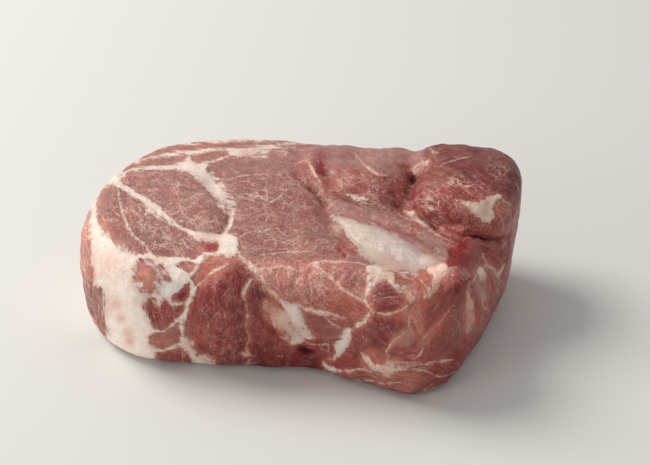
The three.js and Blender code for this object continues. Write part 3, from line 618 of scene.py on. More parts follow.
# where the marbling is thicker: x, y, radius and share
marblingSpots = [
    (150, 208, 9, 1.9), (160, 220, 7, 1.8), (172, 232, 8, 1.7), (155, 245, 9, 1.8), (143, 222, 7, 1.3),
    (188, 240, 7, 1.4), (180, 205, 7, 1.4), (196, 222, 8, 1.5), (176, 186, 6, 1.3), (110, 215, 10, 1.2),
    (262, 196, 9, 1.4), (285, 205, 8, 1.4), (300, 246, 10, 1.4), (430, 205, 11, 1.7), (425, 220, 8, 1.4),
    (455, 182, 9, 1.2), (500, 170, 12, 1.2), (348, 186, 10, 1.2), (378, 192, 9, 1.3), (404, 290, 9, 1.3),
    (330, 275, 10, 1.3),
]
# where blood lies: x, y and radius
bloodSpots = [
    (320, 163, 5), (322, 170, 5), (454, 264, 7), (459, 271, 6), (463, 276, 4), (209, 247.5, 4),
    (215, 247, 4), (459, 256, 9), (452, 252, 7), (464, 262, 7), (462, 246, 6), (457, 286, 4.5),
    (339, 250, 3.8), (466, 343, 6), (498, 255, 4), (318, 172, 4), (450, 262, 5), (344, 255, 3),
]
# painted shade in hollows, creases and under overhangs: x, y, radius and share
paintedShadeSpots = [
    (323, 175, 5, 0.6), (321, 165, 6, 0.45), (321, 158, 5, 0.45), (303, 171, 6, 0.4),
    (412, 177, 3.5, 0.85), (411, 171, 3, 0.5), (409, 185, 3.5, 0.6), (407, 192, 4, 0.5),
    (409, 198, 4, 0.5), (299, 348, 4, 0.6), (304, 351, 4.5, 0.8), (311, 353, 4, 0.6), (307, 358, 5, 0.5),
    (294, 355, 6, 0.3), (262, 364, 12, 0.45), (344, 156, 5, 0.35), (316, 362, 12, 0.5),
    (469, 280, 5, 0.5), (232, 355, 18, 0.2), (457, 291, 4, 0.6), (449, 292, 4, 0.45), (460, 240, 6, 0.4),
    (316, 190, 4.5, 0.45), (310, 184, 4, 0.35), (322, 198, 4, 0.45), (274, 333, 4, 0.5),
    (197, 355, 3, 0.7), (264, 322, 5, 0.35),
]
# where silverskin lies: x, y, radius and share
filmSpots = [
    (425, 246, 12, 0.8), (328, 328, 10, 0.5), (405, 341, 9, 0.9), (455, 330, 14, 0.4),
    (298, 153, 16, 0.6),
]

# Fat and lean of the hidden sides lie round the meat: degrees from the right end, and mm above the table.
wrapScale = 2.0             # mm along the side for each degree
hiddenLean = [
    [(-30, -20), (-30, 110), (62, 120), (98, 110), (106, 74), (113, 66), (121, 50), (118, 30), (108, 12),
     (96, -20)],
    [(116, 60), (128, 61), (146, 55), (164, 50), (182, 40), (186, 33), (172, 37), (152, 44), (134, 50),
     (118, 52)],
    [(124, 30), (140, 34), (158, 29), (170, 20), (176, 12), (160, 14), (142, 17), (127, 19)],
]
hiddenFat = [
    [(34, 68), (44, 73), (58, 70), (72, 63), (66, 61), (48, 65)],
    [(6, 18), (12, 32), (20, 42), (30, 48), (27, 40), (18, 30), (12, 18)],
    [(76, 12), (86, 17), (98, 20), (110, 15), (100, 12), (88, 10)],
]
hiddenLines = [
    (1.2, [(92, 70), (88, 48), (92, 30), (86, 10)]),
    (1.0, [(88, 48), (74, 40), (62, 46), (50, 60)]),
    (1.4, [(62, 46), (58, 28), (64, 8)]),
    (1.0, [(50, 60), (40, 48), (30, 42), (22, 30)]),
    (0.9, [(40, 48), (38, 26), (42, 6)]),
    (1.1, [(22, 30), (10, 40), (2, 58), (-6, 66)]),
    (0.8, [(10, 40), (2, 24), (4, 8)]),
    (0.8, [(108, 40), (100, 50), (92, 52)]),
    (0.8, [(134, 48), (137, 34), (133, 20)]),
]
hiddenCreases = [
    (1.4, 1.2, [(74, 62), (68, 50), (72, 36), (66, 24)]),
    (1.3, 1.0, [(30, 60), (26, 44), (14, 36)]),
]
# the underside, in x and y in mm
underLean = [
    [(-70, -50), (-40, -64), (20, -60), (60, -64), (104, -50), (118, 0), (112, 50), (60, 68), (0, 72),
     (-50, 66), (-64, 20)],
    [(-104, -30), (-84, -44), (-80, -10), (-88, 30), (-108, 30), (-114, 0)],
]
underLines = [
    (1.0, [(-60, 20), (-20, 10), (20, 24), (60, 10), (112, 20)]),
    (1.0, [(20, 24), (10, 50), (16, 70)]),
    (0.9, [(-20, 10), (-16, -30), (-24, -60)]),
    (0.9, [(60, 10), (66, -30), (56, -62)]),
]
print("muscles read")


# a smooth curve through the points, with a few steps from each to the next
def curveThrough(points, closed=False, steps=3):
    points = np.array(points, float)
    count = len(points)
    spans = count if closed else count - 1
    curve = []
    for first in range(spans):
        near = [first - 1, first, first + 1, first + 2]
        a, b, c, d = (points[i % count if closed else min(max(i, 0), count - 1)] for i in near)
        for t in np.arange(steps) / steps:
            curve.append(0.5 * (2 * b + (c - a) * t + (2 * a - 5 * b + 4 * c - d) * t ** 2
                                + (3 * b - a - 3 * c + d) * t ** 3))
    curve.append(curve[0] if closed else points[-1])
    return np.array(curve)


# for each spot: its distance from the path, on which side it is, and how far along it, from 0 to 1
def alongPath(spots, path):
    nearest = np.full(len(spots), 1e9)
    side = np.ones(len(spots))
    share = np.zeros(len(spots))
    spans = np.linalg.norm(np.diff(path, axis=0), axis=1)
    starts = np.concatenate(([0], np.cumsum(spans)))
    for start, end, before, span in zip(path[:-1], path[1:], starts, spans):
        run = end - start
        offset = spots - start
        t = np.clip(offset @ run / max(run @ run, 1e-9), 0, 1)
        away = offset - t[:, None] * run
        distance = np.hypot(away[:, 0], away[:, 1])
        closer = distance < nearest
        nearest[closer] = distance[closer]
        side[closer] = np.where(run[0] * offset[:, 1] - run[1] * offset[:, 0] < 0, -1, 1)[closer]
        share[closer] = ((before + t * span) / starts[-1])[closer]
    return nearest, side, share


# which spots are near enough to a path for it to matter
def closeTo(spots, path, reach):
    low, high = path.min(axis=0) - reach, path.max(axis=0) + reach
    return np.flatnonzero(((spots > low) & (spots < high)).all(axis=1))


# 1 in the middle of a path, less towards its ends
def tapering(share, end):
    return np.sin(np.pi * np.clip(share, end, 1 - end)) ** 0.5


deepest = 14.0   # pixels past which a depth isn't measured


# the depth of each spot inside an outline, less than 0 outside it
def depthInside(spots, outline):
    path = curveThrough(outline, closed=True)
    depth = np.full(len(spots), -deepest)
    close = closeTo(spots, path, deepest)
    x, y = spots[close].T
    inside = np.zeros(len(close), bool)
    for (x1, y1), (x2, y2) in zip(path[:-1], path[1:]):
        crosses = (y1 > y) != (y2 > y)
        inside ^= crosses & (x < (x2 - x1) * (y - y1) / (y2 - y1 + 1e-12) + x1)
    distance = alongPath(spots[close], path)[0]
    depth[close] = np.where(inside, distance, -np.minimum(distance, deepest))
    return depth


# the depth in a zone of fat, or in patches of it, less than 0 in the lean
def fatDepth(spots, zone, islands, patches):
    depth = np.full(len(spots), deepest) if zone is None else depthInside(spots, zone)
    for island in islands:
        depth = np.minimum(depth, -depthInside(spots, island))
    for patch in patches:
        depth = np.maximum(depth, depthInside(spots, patch))
    return depth


# the nearest pale line of each spot: signed distance across it, plain distance, and its half width there
def nearestLine(spots, lines, reach=8.0):
    across = np.full(len(spots), reach)
    away = np.full(len(spots), reach)
    half = np.zeros(len(spots))
    for width, points in lines:
        path = curveThrough(points)
        close = closeTo(spots, path, reach)
        distance, side, share = alongPath(spots[close], path)
        tapered = width * (0.45 + 0.55 * tapering(share, 0.02))
        better = (tapered - distance) > (half[close] - away[close])
        chosen = close[better]
        across[chosen] = (distance * side)[better]
        away[chosen] = distance[better]
        half[chosen] = tapered[better]
    return across, away, half


# how deep the creases are at each spot, and how much painted shade they get: fully so from a depth of
# darkest mm
def creaseAt(spots, cuts, reach=12.0, darkest=4.5):
    depth = np.zeros(len(spots))
    shade = np.zeros(len(spots))
    for width, cut, points in cuts:
        path = curveThrough(points)
        close = closeTo(spots, path, reach)
        distance, _, share = alongPath(spots[close], path)
        tapered = tapering(share, 0.03)
        valley = cut * tapered * np.exp(-(distance / (width * 1.5)) ** 2)
        depth[close] = np.maximum(depth[close], valley)
        shaded = tapered * np.exp(-(distance / width) ** 2) * min(cut / darkest, 1)
        shade[close] = np.maximum(shade[close], shaded)
    return depth, shade


# 1 in the middle of a soft round spot, 0 far from it
def softSpot(spots, x, y, radius):
    return np.exp(-((spots[:, 0] - x) ** 2 + (spots[:, 1] - y) ** 2) / radius ** 2)


# a colour for each place, with spots laid over it: x, y, radius, screen colour and share
def withSpots(tone, spots, table, shown=1.0):
    for x, y, radius, colour, share in table:
        weight = (softSpot(spots, x, y, radius) * share * shown)[:, None]
        tone = tone + weight * (np.array(linear(colour)) - tone)
    return tone


# a value for each place, drawn towards that of spots: x, y, radius and value
def drawnTo(values, spots, table, shown):
    for x, y, radius, value in table:
        values = values + softSpot(spots, x, y, radius) * shown * (value - values)
    return values


# a share for each place, no less than that of spots: x, y, radius and share
def atLeast(values, spots, table, shown):
    for x, y, radius, share in table:
        values = np.maximum(values, softSpot(spots, x, y, radius) * share * shown)
    return values


# 0 at low, 1 at high, smooth between
def smoothRise(value, low, high):
    share = np.clip((value - low) / (high - low), 0, 1)
    return share * share * (3 - 2 * share)


# a merged copy of a CAD node, grown by some mm
def mergedNode(name, growth=0.0):
    shell = bmesh.new()
    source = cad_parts[name]
    shell.from_mesh(source.data)
    shell.transform(source.matrix_world)
    bmesh.ops.remove_doubles(shell, verts=shell.verts, dist=1e-6)
    shell.normal_update()
    for corner in shell.verts:
        corner.co += corner.normal * growth * mm
    return shell


# one even skin of squares over closed shells: its places and its faces
def evenSkin(shells, grid):
    joined = bmesh.new()
    for shell in shells:
        data = bpy.data.meshes.new("shell")
        shell.to_mesh(data)
        shell.free()
        joined.from_mesh(data)
        bpy.data.meshes.remove(data)
    data = bpy.data.meshes.new("rough")
    joined.to_mesh(data)
    joined.free()
    rough = bpy.data.objects.new("rough", data)
    bpy.context.scene.collection.objects.link(rough)
    remesh = rough.modifiers.new("grid", "REMESH")
    remesh.mode = "VOXEL"
    remesh.voxel_size = grid * mm
    skin = bpy.data.meshes.new_from_object(rough.evaluated_get(bpy.context.evaluated_depsgraph_get()))
    bpy.data.objects.remove(rough)
    places = np.empty(len(skin.vertices) * 3)
    skin.vertices.foreach_get("co", places)
    corners = np.empty(len(skin.loops), int)
    skin.loops.foreach_get("vertex_index", corners)
    return places.reshape(-1, 3), corners.reshape(-1, 4)


def linksOf(faces):
    sides = [np.column_stack((faces[:, i], faces[:, (i + 1) % 4])) for i in range(4)]
    return np.unique(np.sort(np.vstack(sides), axis=1), axis=0)


# each value drawn towards the mean of its neighbours, a few times
def evened(values, links, rounds, share=0.5):
    first, second = links.T
    count = len(values)
    number = np.bincount(first, minlength=count) + np.bincount(second, minlength=count)
    values = values.copy()
    for _ in range(rounds):
        for column in range(values.shape[1]):
            own = values[:, column]
            total = np.bincount(first, own[second], count) + np.bincount(second, own[first], count)
            values[:, column] = own + share * (total / number - own)
    return values


def normalsOf(places, faces):
    a, b, c, d = (places[faces[:, i]] for i in range(4))
    across = np.cross(c - a, d - b)
    normals = np.zeros_like(places)
    for corner in range(4):
        for axis in range(3):
            normals[:, axis] += np.bincount(faces[:, corner], across[:, axis], len(places))
    return normals / np.maximum(np.linalg.norm(normals, axis=1), 1e-12)[:, None]


def treeOf(places, faces):
    return BVHTree.FromPolygons([Vector(place) for place in places], faces.tolist())


# where a skin is met straight down from a height over a place, or None
def dropOnto(tree, place, height):
    return tree.ray_cast(Vector(place) + Vector((0, 0, height)), Vector((0, 0, -1)))[0]


# which places the camera sees; a hit within slack mm of a place is the place itself
def seenFromCamera(places, normals, tree, slack=1.6):
    eye = viewAxes()[0]
    seen = np.zeros(len(places), bool)
    for index, (place, normal) in enumerate(zip(places, normals)):
        run = Vector(place) - eye
        if run.dot(Vector(normal)) > 0:
            continue
        hit = tree.ray_cast(eye, run.normalized())
        seen[index] = hit[0] is None or hit[3] > run.length - slack * mm
    return seen


# for each place: its spot in the photo, or that of the nearest place that shows, and the gap to it in mm
def spotsOf(places, seen):
    spots = toPhoto(places)
    gap = np.zeros(len(places))
    shown = np.flatnonzero(seen)
    finder = KDTree(len(shown))
    for index in shown:
        finder.insert(places[index], index)
    finder.balance()
    for index in np.flatnonzero(~seen):
        _, nearest, distance = finder.find(places[index])
        spots[index] = spots[nearest]
        gap[index] = distance / mm
    return spots, gap


# a mesh piece that carries what is painted on it
def asObject(name, places, faces, painted):
    data = bpy.data.meshes.new(name)
    data.from_pydata(places.tolist(), [], faces.tolist())
    data.polygons.foreach_set("use_smooth", [True] * len(faces))
    for key, values in painted.items():
        if values.ndim == 1:
            data.attributes.new(key, "FLOAT", "POINT").data.foreach_set("value", values)
        elif key.endswith("Tone"):
            values = np.column_stack((values, np.ones(len(values))))
            data.attributes.new(key, "FLOAT_COLOR", "POINT").data.foreach_set("color", values.ravel())
        else:
            data.attributes.new(key, "FLOAT_VECTOR", "POINT").data.foreach_set("vector", values.ravel())
    piece = bpy.data.objects.new(name, data)
    bpy.context.scene.collection.objects.link(piece)
    return piece


relief = {
    "Lump Height": 2.6,      # mm
    "Lump Size": 13.0,
    "Dimple Height": 1.1,
    "Dimple Size": 4.2,
    "Fibre Height": 0.9,
    "Fibre Size": 3.0,
    "Groove Depth": 0.8,
    "Groove Size": 8.0,
    "Groove Share": 0.07,    # of the noise on each side of a groove
    "Seed": 5,
}


# the surface's lumps, dimples and fibres, as a tree of nodes whose sizes are its inputs
def reliefTree(material):
    tree = bpy.data.node_groups.new("meatRelief", "GeometryNodeTree")
    tree.interface.new_socket("Geometry", in_out="INPUT", socket_type="NodeSocketGeometry")
    for name in relief:
        kind = "NodeSocketInt" if name == "Seed" else "NodeSocketFloat"
        tree.interface.new_socket(name, in_out="INPUT", socket_type=kind)
    tree.interface.new_socket("Geometry", in_out="OUTPUT", socket_type="NodeSocketGeometry")
    start = Signal(tree)
    given = tree.nodes.new("NodeGroupInput")
    wanted = {name: Signal(tree, given.outputs[name]) for name in relief}
    place = start.node("GeometryNodeInputPosition")
    normal = start.node("GeometryNodeInputNormal")
    strength, grain = (start.node("GeometryNodeInputNamedAttribute", {"data_type": "FLOAT_VECTOR"}, 0,
                                  {"Name": name}) for name in ("relief", "grain"))
    lumpShare, dimpleShare, fibreShare = strength.parts()

    def bumps(where, name, detail):
        noise = start.node("ShaderNodeTexNoise", {"noise_dimensions": "4D"}, 0,
                           {"Vector": where, "W": wanted["Seed"],
                            "Scale": 1 / (wanted[name + " Size"] * mm), "Detail": detail})
        return noise - 0.5

    rise = bumps(place, "Lump", 1.0) * wanted["Lump Height"] * lumpShare
    rise = rise + bumps(place, "Dimple", 2.0) * wanted["Dimple Height"] * dimpleShare
    rise = rise + bumps(grain, "Fibre", 1.0) * wanted["Fibre Height"] * fibreShare
    groove = 1 - (abs(bumps(grain, "Groove", 0.0)) / wanted["Groove Share"]).least(1)
    rise = rise - groove * wanted["Groove Depth"] * fibreShare
    whole = Signal(tree, given.outputs["Geometry"])
    moved = start.node("GeometryNodeSetPosition", None, 0,
                       {"Geometry": whole, "Offset": normal.times(rise * mm)})
    real = start.node("GeometryNodeRealizeInstances", None, 0, {"Geometry": moved})
    dressed = start.node("GeometryNodeSetMaterial", None, 0, {"Geometry": real, "Material": material})
    end = tree.nodes.new("NodeGroupOutput")
    tree.links.new(dressed.socket, end.inputs[0])
    return tree


# the plain mesh that the relief tree makes of a piece
def withRelief(piece, material):
    tree = reliefTree(material)
    modifier = piece.modifiers.new("relief", "NODES")
    modifier.node_group = tree
    for item in tree.interface.items_tree:
        if item.in_out == "INPUT" and item.name in relief:
            modifier[item.identifier] = relief[item.name]
    evaluated = piece.evaluated_get(bpy.context.evaluated_depsgraph_get())
    plain = bpy.data.meshes.new_from_object(evaluated)
    piece.modifiers.remove(modifier)
    piece.data = plain
    return piece


meatShape = {
    "grid": 1.34,            # mm between the points of the skin
    "smoothing": 12,         # rounds
    "lensSmoothing": 60,     # rounds that lay the skin over the bone flush with the meat
    "cutHeight": 50,         # mm above the table, and the lens lies higher
    "boneGrowth": 0.6,       # mm that fills the bone's pocket
    "boneStep": 0.25,        # mm that the skin steps back under the bone's
    "stepHeight": 1.5,       # mm upright between the two skins, within which it steps back
    "stepGap": 1.1,          # mm between them at their nearest
    "stepDepth": 3,          # mm inside the bone, within which it steps back
    "fatRise": 0.3,          # mm that fat stands proud
    "lineRise": 0.25,
    "muscleRise": 1.4,       # mm that a muscle of the sides bulges between its seams
    "bulgeReach": 4.0,       # mm from a seam in which it bulges
    "foot": (0.3, 6),        # mm above the table between which the relief grows
    "fade": (1.0, 10.0),     # mm past what the photo shows, between which the hidden finish takes over
    "hiddenLines": 4,        # mm past what the photo shows, where the hidden lines begin
    "toneRounds": 16,        # how far one muscle's colour blends into the next
    "finishRounds": 8,
    "fibreStretch": 0.8,
    "halfLength": 0.131,     # m, for the turn round the hidden sides
    "halfWidth": 0.082,
    "underside": 3,          # mm above the table, below which a skin that faces down is the underside
}


# where each muscle shows, its fibres' direction, and its finish
def muscleSeeds(tree, ahead=5):
    seeds = []

    def addMuscle(finish, places, run):
        tone, marbling, film = finish
        muscle = len({seed["muscle"] for seed in seeds})
        for place in places:
            seeds.append({"place": place, "centre": places[0], "run": run, "muscle": muscle,
                          "tone": linear(leanTones[tone]), "finish": (marbling, film)})

    for *finish, run, spots in muscles.values():
        hits = [(spot, tree.ray_cast(*rayThrough(spot))[0]) for spot in spots]
        hits = [(spot, place) for spot, place in hits if place]
        if not hits:
            continue
        spot, first = hits[0]
        start = rayThrough(spot)
        onward = rayThrough((spot[0] + ahead * run[0], spot[1] + ahead * run[1]))
        along = tree.ray_cast(*onward)[0] or first + (onward[1] - start[1])
        addMuscle(finish, [place for spot, place in hits], (along - first).normalized())
    for *finish, run, spots in hiddenMuscles.values():
        places = [tree.find_nearest(Vector(spot) * mm)[0] for spot in spots]
        addMuscle(finish, places, Vector(run).normalized())
    return seeds


# for each place: the seed it belongs to, and how far in mm it is from the next muscle
def nearestSeed(places, seeds):
    names = np.array([seed["muscle"] for seed in seeds])
    nearest = np.full((names.max() + 1, len(places)), 1e9)
    chosen = np.zeros(len(places), int)
    best = np.full(len(places), 1e9)
    for index, seed in enumerate(seeds):
        distance = np.linalg.norm(places - np.array(seed["place"]), axis=1) / mm
        closer = distance < best
        best[closer] = distance[closer]
        chosen[closer] = index
        nearest[seed["muscle"]] = np.minimum(nearest[seed["muscle"]], distance)
    ordered = np.partition(nearest, 1, axis=0)
    return chosen, ordered[1] - ordered[0]


# for each place: its lean colour, marbling and silverskin, the place drawn together along the fibres,
# and mm to the next muscle
def paintMuscles(places, links, tree):
    seeds = muscleSeeds(tree)
    chosen, fromNext = nearestSeed(places, seeds)
    tone, finish, centre, run = (np.array([seed[key] for seed in seeds])[chosen]
                                 for key in ("tone", "finish", "centre", "run"))
    along = ((places - centre) * run).sum(axis=1)
    grain = places - meatShape["fibreStretch"] * along[:, None] * run
    veins, film = evened(finish, links, meatShape["finishRounds"]).T
    lean = evened(tone, links, meatShape["toneRounds"])
    return lean, veins, film, grain, fromNext


def wrap(path):
    return [(x * wrapScale, y) for x, y in path]


# where each place is in the plan of the hidden sides, or of the underside
def wrappedSpots(places, below):
    along = places[:, 0] / meatShape["halfLength"]
    turn = np.degrees(np.arctan2(places[:, 1] / meatShape["halfWidth"], along))
    turn = np.where(turn < -90, turn + 360, turn)
    wrapped = np.column_stack((turn * wrapScale, places[:, 2] / mm))
    wrapped[below] = places[below, :2] / mm
    return wrapped


# everything that is drawn on the meat, as one value or colour for each place: what its material reads,
# and what its shape needs
def paint(places, normals, seen, links, tree):
    spots, gap = spotsOf(places, seen)
    pixel = photoView["pixelSize"]
    hidden = smoothRise(gap, *meatShape["fade"])
    shown = 1 - hidden
    below = (normals[:, 2] < -0.5) & (places[:, 2] < meatShape["underside"] * mm)
    wrapped = wrappedSpots(places, below)

    depth = fatDepth(spots, fatZone, leanIslands.values(), fatPatches.values()) * pixel
    farDepth = fatDepth(wrapped, None, map(wrap, hiddenLean), map(wrap, hiddenFat))
    farDepth[below] = fatDepth(wrapped[below], None, underLean, [])
    depth = drawnTo(depth + hidden * (farDepth - depth), spots, mixedSpots, shown)

    across, away, half = nearestLine(spots, paleLines.values())
    line = np.column_stack((across, away + gap / pixel, half)) * pixel
    farLine = np.column_stack(nearestLine(wrapped, [(width, wrap(path)) for width, path in hiddenLines]))
    farLine[below] = np.column_stack(nearestLine(wrapped[below], underLines))
    farther = (gap > meatShape["hiddenLines"]) & (farLine[:, 1] < line[:, 1])
    line[farther] = farLine[farther]

    nearCuts = creaseAt(spots, creases.values())
    farCuts = creaseAt(wrapped, [(width, cut, wrap(path)) for width, cut, path in hiddenCreases])
    valley, shade = (np.maximum(near * shown, far * hidden) for near, far in zip(nearCuts, farCuts))

    lean, veins, film, grain, fromNext = paintMuscles(places, links, tree)
    lean = withSpots(lean, spots, leanSpots, shown)
    for x, y, radius, _, share in leanSpots:
        film = film * (1 - softSpot(spots, x, y, radius) * share * shown)
    fat = np.tile(linear(fatBase), (len(places), 1))
    overLens = smoothRise(depthInside(spots, lens), -2, 1)[:, None] * shown[:, None]
    fat = withSpots(fat + overLens * (lensTone(spots) - fat), spots, fatSpots, shown)

    blood = atLeast(np.zeros(len(places)), spots, [(*spot, 1) for spot in bloodSpots], shown)
    # painted shade: the creases' shade and the shade spots, darkening the colour in hollows and creases
    dark = atLeast(shade, spots, paintedShadeSpots, shown)
    film = atLeast(film, spots, filmSpots, shown)
    painted = {"fatDepth": depth, "line": line, "leanTone": lean, "fatTone": fat, "grain": grain,
               "filmBloodShade": np.column_stack((film, blood, dark))}
    veins = drawnTo(veins, spots, marblingSpots, shown)
    return painted, {"valley": valley, "veins": veins, "spots": spots, "gap": gap, "fromNext": fromNext}


meatLooks = {
    "patches": 13.0,            # mm across the patches of redder and paler muscle
    "coarse": 9.0,              # and across the lumps of ever finer noise
    "middling": 3.2,
    "fine": 1.2,
    "grit": 0.75,
    "fibres": 1.0,
    "threads": 1.4,
    "broadFibres": 2.8,
    "lobules": 4.2,
    "edgeSoftness": 0.8,        # mm over which fat turns to lean
    "edgeWander": 2.6,          # mm that the edge wanders
    "veinCell": 8.0,            # mm between the marbling's veins
    "veinWidth": 0.34,
    "filmColour": (168, 126, 118),
    "bloodColour": (132, 8, 14),
    "rimColour": (196, 112, 84),
    # painted shade of the deepest creases
    "creaseShadeColour": (44, 7, 8),
    "veinColour": (226, 184, 168),
    "redder": (1.06, 0.74, 0.72),   # times the lean's colour
    "paler": (1.12, 1.3, 1.34),
    "mauver": (0.96, 0.96, 1.12),
    "darker": (0.74, 0.6, 0.6),
    # tint of painted shade in creases and hollows
    "shaded": (0.5, 0.26, 0.26),
    "leanRoughness": 0.48,
    "fatRoughness": 0.55,
    "subsurface": 0.12,
    "subsurfaceScale": 2.0,     # mm
    "wetness": 0.08,
}


def meatMaterial():
    material, start = newMaterial("moistMeat")
    place = start.node("ShaderNodeTexCoord", None, "Object")
    depth = start.stored("fatDepth")
    across, away, half = start.stored("line", "Vector").parts()
    leanTone = start.stored("leanTone", "Color")
    fatTone = start.stored("fatTone", "Color")
    grain = start.stored("grain", "Vector")
    # silverskin, blood, and painted shade in creases and hollows
    film, blood, dark = start.stored("filmBloodShade", "Vector").parts()
    marbling, inMuscle, flat = start.stored("muscle", "Vector").parts()

    coarse = start.noise(place, meatLooks["coarse"], 2.0)
    patches = start.noise(place, meatLooks["patches"], 2.0, "Color")
    middling = start.noise(place, meatLooks["middling"], 3.0)
    fine = start.noise(place, meatLooks["fine"], 2.0)
    grit = start.noise(place, meatLooks["grit"], 1.0)

    # noise drawn out along the fibres, and plain noise where two muscles meet
    def drawn(size, detail):
        plain = start.noise(place, size * 1.4, detail)
        return plain + (start.noise(grain, size, detail) - plain) * inMuscle

    fibres = drawn(meatLooks["fibres"], 3.0)
    threads = drawn(meatLooks["threads"], 3.0)
    broadFibres = drawn(meatLooks["broadFibres"], 2.0)

    # fat or lean, in streaks where they meet
    wander = start.noise(place, 5.5, 2.0) + middling * 0.7 + broadFibres * 1.5 + fibres * 1.5 - 2.35
    edge = depth + wander * meatLooks["edgeWander"]
    soft = meatLooks["edgeSoftness"]
    fatShare = edge.rise(-soft, soft)
    rim = (depth + (middling - 0.5) * 4 + (broadFibres - 0.5) * 5).rise(4.0, -0.5)

    # pale lines of fat and sinew, that come and go
    pinch = start.noise(place, 4.5, 2.0).rise(0.34, 0.62)
    swayed = abs(across + (middling - 0.5) * 1.9 + (fine - 0.5) * 1.0)
    width = half * (0.55 + pinch * 0.9 + fine * 0.7)
    strength = (0.28 + half * 0.4).least(0.95) * (0.35 + pinch * 0.65) * grit.rise(0.15, 0.5)
    lineShare = (swayed / width.most(0.1)).rise(1.05, 0.1) * (away - half * 1.3).rise(1.6, 0.6) * strength

    # marbling: thin broken veins round cells, grainy flecks, and flecks along the fibres
    bent = place.plus(start.noise(place, 6.0, 3.0, "Color").times(6 * mm))
    walls = start.cellWalls(bent, meatLooks["veinCell"])
    thin = meatLooks["veinWidth"] * (0.2 + middling * 1.5)
    veins = (walls - thin).rise(0.45, -0.15) * coarse.rise(0.44, 0.6) * grit.rise(0.2, 0.55)
    smallWalls = start.cellWalls(bent, meatLooks["veinCell"] * 0.45)
    frost = start.noise(place, 6.0, 3.0).rise(0.46, 0.66)
    smallVeins = (smallWalls - thin * 0.8).rise(0.4, -0.15) * frost * fine.rise(0.3, 0.6) * 0.7
    grains = grit.rise(0.46, 0.62) * (0.3 + frost * 0.7)
    flecks = broadFibres.rise(0.54, 0.7) * fine.rise(0.4, 0.62) * 0.55
    veinShare = (veins * 0.9).most(smallVeins).most(flecks).most(grains * 0.9) * marbling

    # lean, in patches of redder and paler muscle
    redness, paleness, mauveness = patches.parts()
    light = fibres * 0.62 + broadFibres * 0.42 + middling * 0.6 + fine * 0.7 + grit * 0.95 - 0.67
    lean = leanTone.times(light.most(0.35))
    tints = {
        "redder": redness.rise(0.42, 0.6) * 0.8,
        "paler": paleness.rise(0.48, 0.66) * 0.5,
        "mauver": mauveness.rise(0.46, 0.62) * 0.7,
        "darker": broadFibres.rise(0.46, 0.3) * 0.5,
    }
    for name, share in tints.items():
        lean = lean.under(lean.tinted(meatLooks[name]), share)
    veinColour = opaque(meatLooks["veinColour"])
    lean = lean.under(veinColour, (veinShare * 0.68).least(0.9))
    strands = threads.rise(0.52, 0.7) * (0.1 + (1 - flat) * (0.02 + marbling * 0.45)) * (0.5 + frost * 0.7)
    lean = lean.under(veinColour, strands)
    nearLine = (away - half).rise(3.0, 0.4) * half.rise(0.5, 0.9)
    nearFat = (depth + (middling - 0.5) * 3).rise(-3.2, 0.0).most(nearLine)
    rimShare = nearFat * (0.2 + coarse.rise(0.35, 0.65) * 0.4) * (1 - flat * 0.75)
    lean = lean.under(opaque(meatLooks["rimColour"]), rimShare)
    lean = lean.under(opaque(meatLooks["filmColour"]), film * (coarse * 0.6 + fibres * 0.9 - 0.1) * 0.8)

    # fat in small lobules, pinker near the lean and in streaks
    upright = start.noise(place.tinted((1.0, 1.0, 0.28)), 2.2, 3.0)
    streaks = (upright + threads) * 0.5
    lobules = start.cellWalls(bent, meatLooks["lobules"]).rise(0.0, 0.9)
    fat = fatTone.times(0.74 + middling * 0.14 + fine * 0.1 + streaks * 0.2 + lobules * 0.06)
    blotches = start.noise(place, 8.0, 3.0).rise(0.54, 0.72) * 0.14 + streaks.rise(0.52, 0.62) * 0.16
    pinked = fat.under(leanTone.times(1.2), (rim * 0.3 + blotches * (0.4 + rim * 1.6)).least(0.6))
    colour = lean.under(pinked, fatShare)
    colour = colour.under(fat.times(0.97), lineShare)

    # blood, and painted shade in creases and hollows: the colour darkened, and near-black in the deepest
    # creases
    bloodLevel = (blood + (middling - 0.5) * 0.9 + (fine - 0.5) * 0.3).rise(0.25, 0.8)
    colour = colour.under(opaque(meatLooks["bloodColour"]), bloodLevel * (0.5 + fibres * 0.6))
    shadow = (dark + (middling - 0.5) * 0.4 + (fine - 0.5) * 0.2).rise(0.2, 0.8)
    colour = colour.under(colour.tinted(meatLooks["shaded"]), shadow.least(0.5) * 1.4)
    colour = colour.under(opaque(meatLooks["creaseShadeColour"]), shadow.rise(0.5, 1.0) * 0.9)

    pale = fatShare.most(lineShare)
    roughness = meatLooks["leanRoughness"] + pale * (meatLooks["fatRoughness"] - meatLooks["leanRoughness"])
    roughness = roughness + (fine - 0.5) * 0.3 - bloodLevel * 0.2 - film * 0.08 + shadow * 0.4
    height = fibres * 0.5 * (1 - pale * 0.6) + fine * 0.3 + grit * 0.15 + middling * 0.3 + veinShare * 0.12
    height = height + pale * 0.25 + streaks * pale * 0.7 + lobules * pale * 0.05
    bump = start.node("ShaderNodeBump", None, 0, {"Strength": 1.0, "Distance": 1.0 * mm, "Height": height})
    shader = start.node("ShaderNodeBsdfPrincipled", None, 0, {
        "Base Color": colour, "Roughness": roughness, "Normal": bump,
        "Subsurface Weight": meatLooks["subsurface"], "Subsurface Radius": (1.0, 0.35, 0.25),
        "Subsurface Scale": meatLooks["subsurfaceScale"] * mm,
        "Coat Weight": meatLooks["wetness"] * (1 - shadow) * (0.4 + coarse * 1.2), "Coat Roughness": 0.22,
        "Specular IOR Level": 0.36,
    })
    endMaterial(start, shader)
    return material


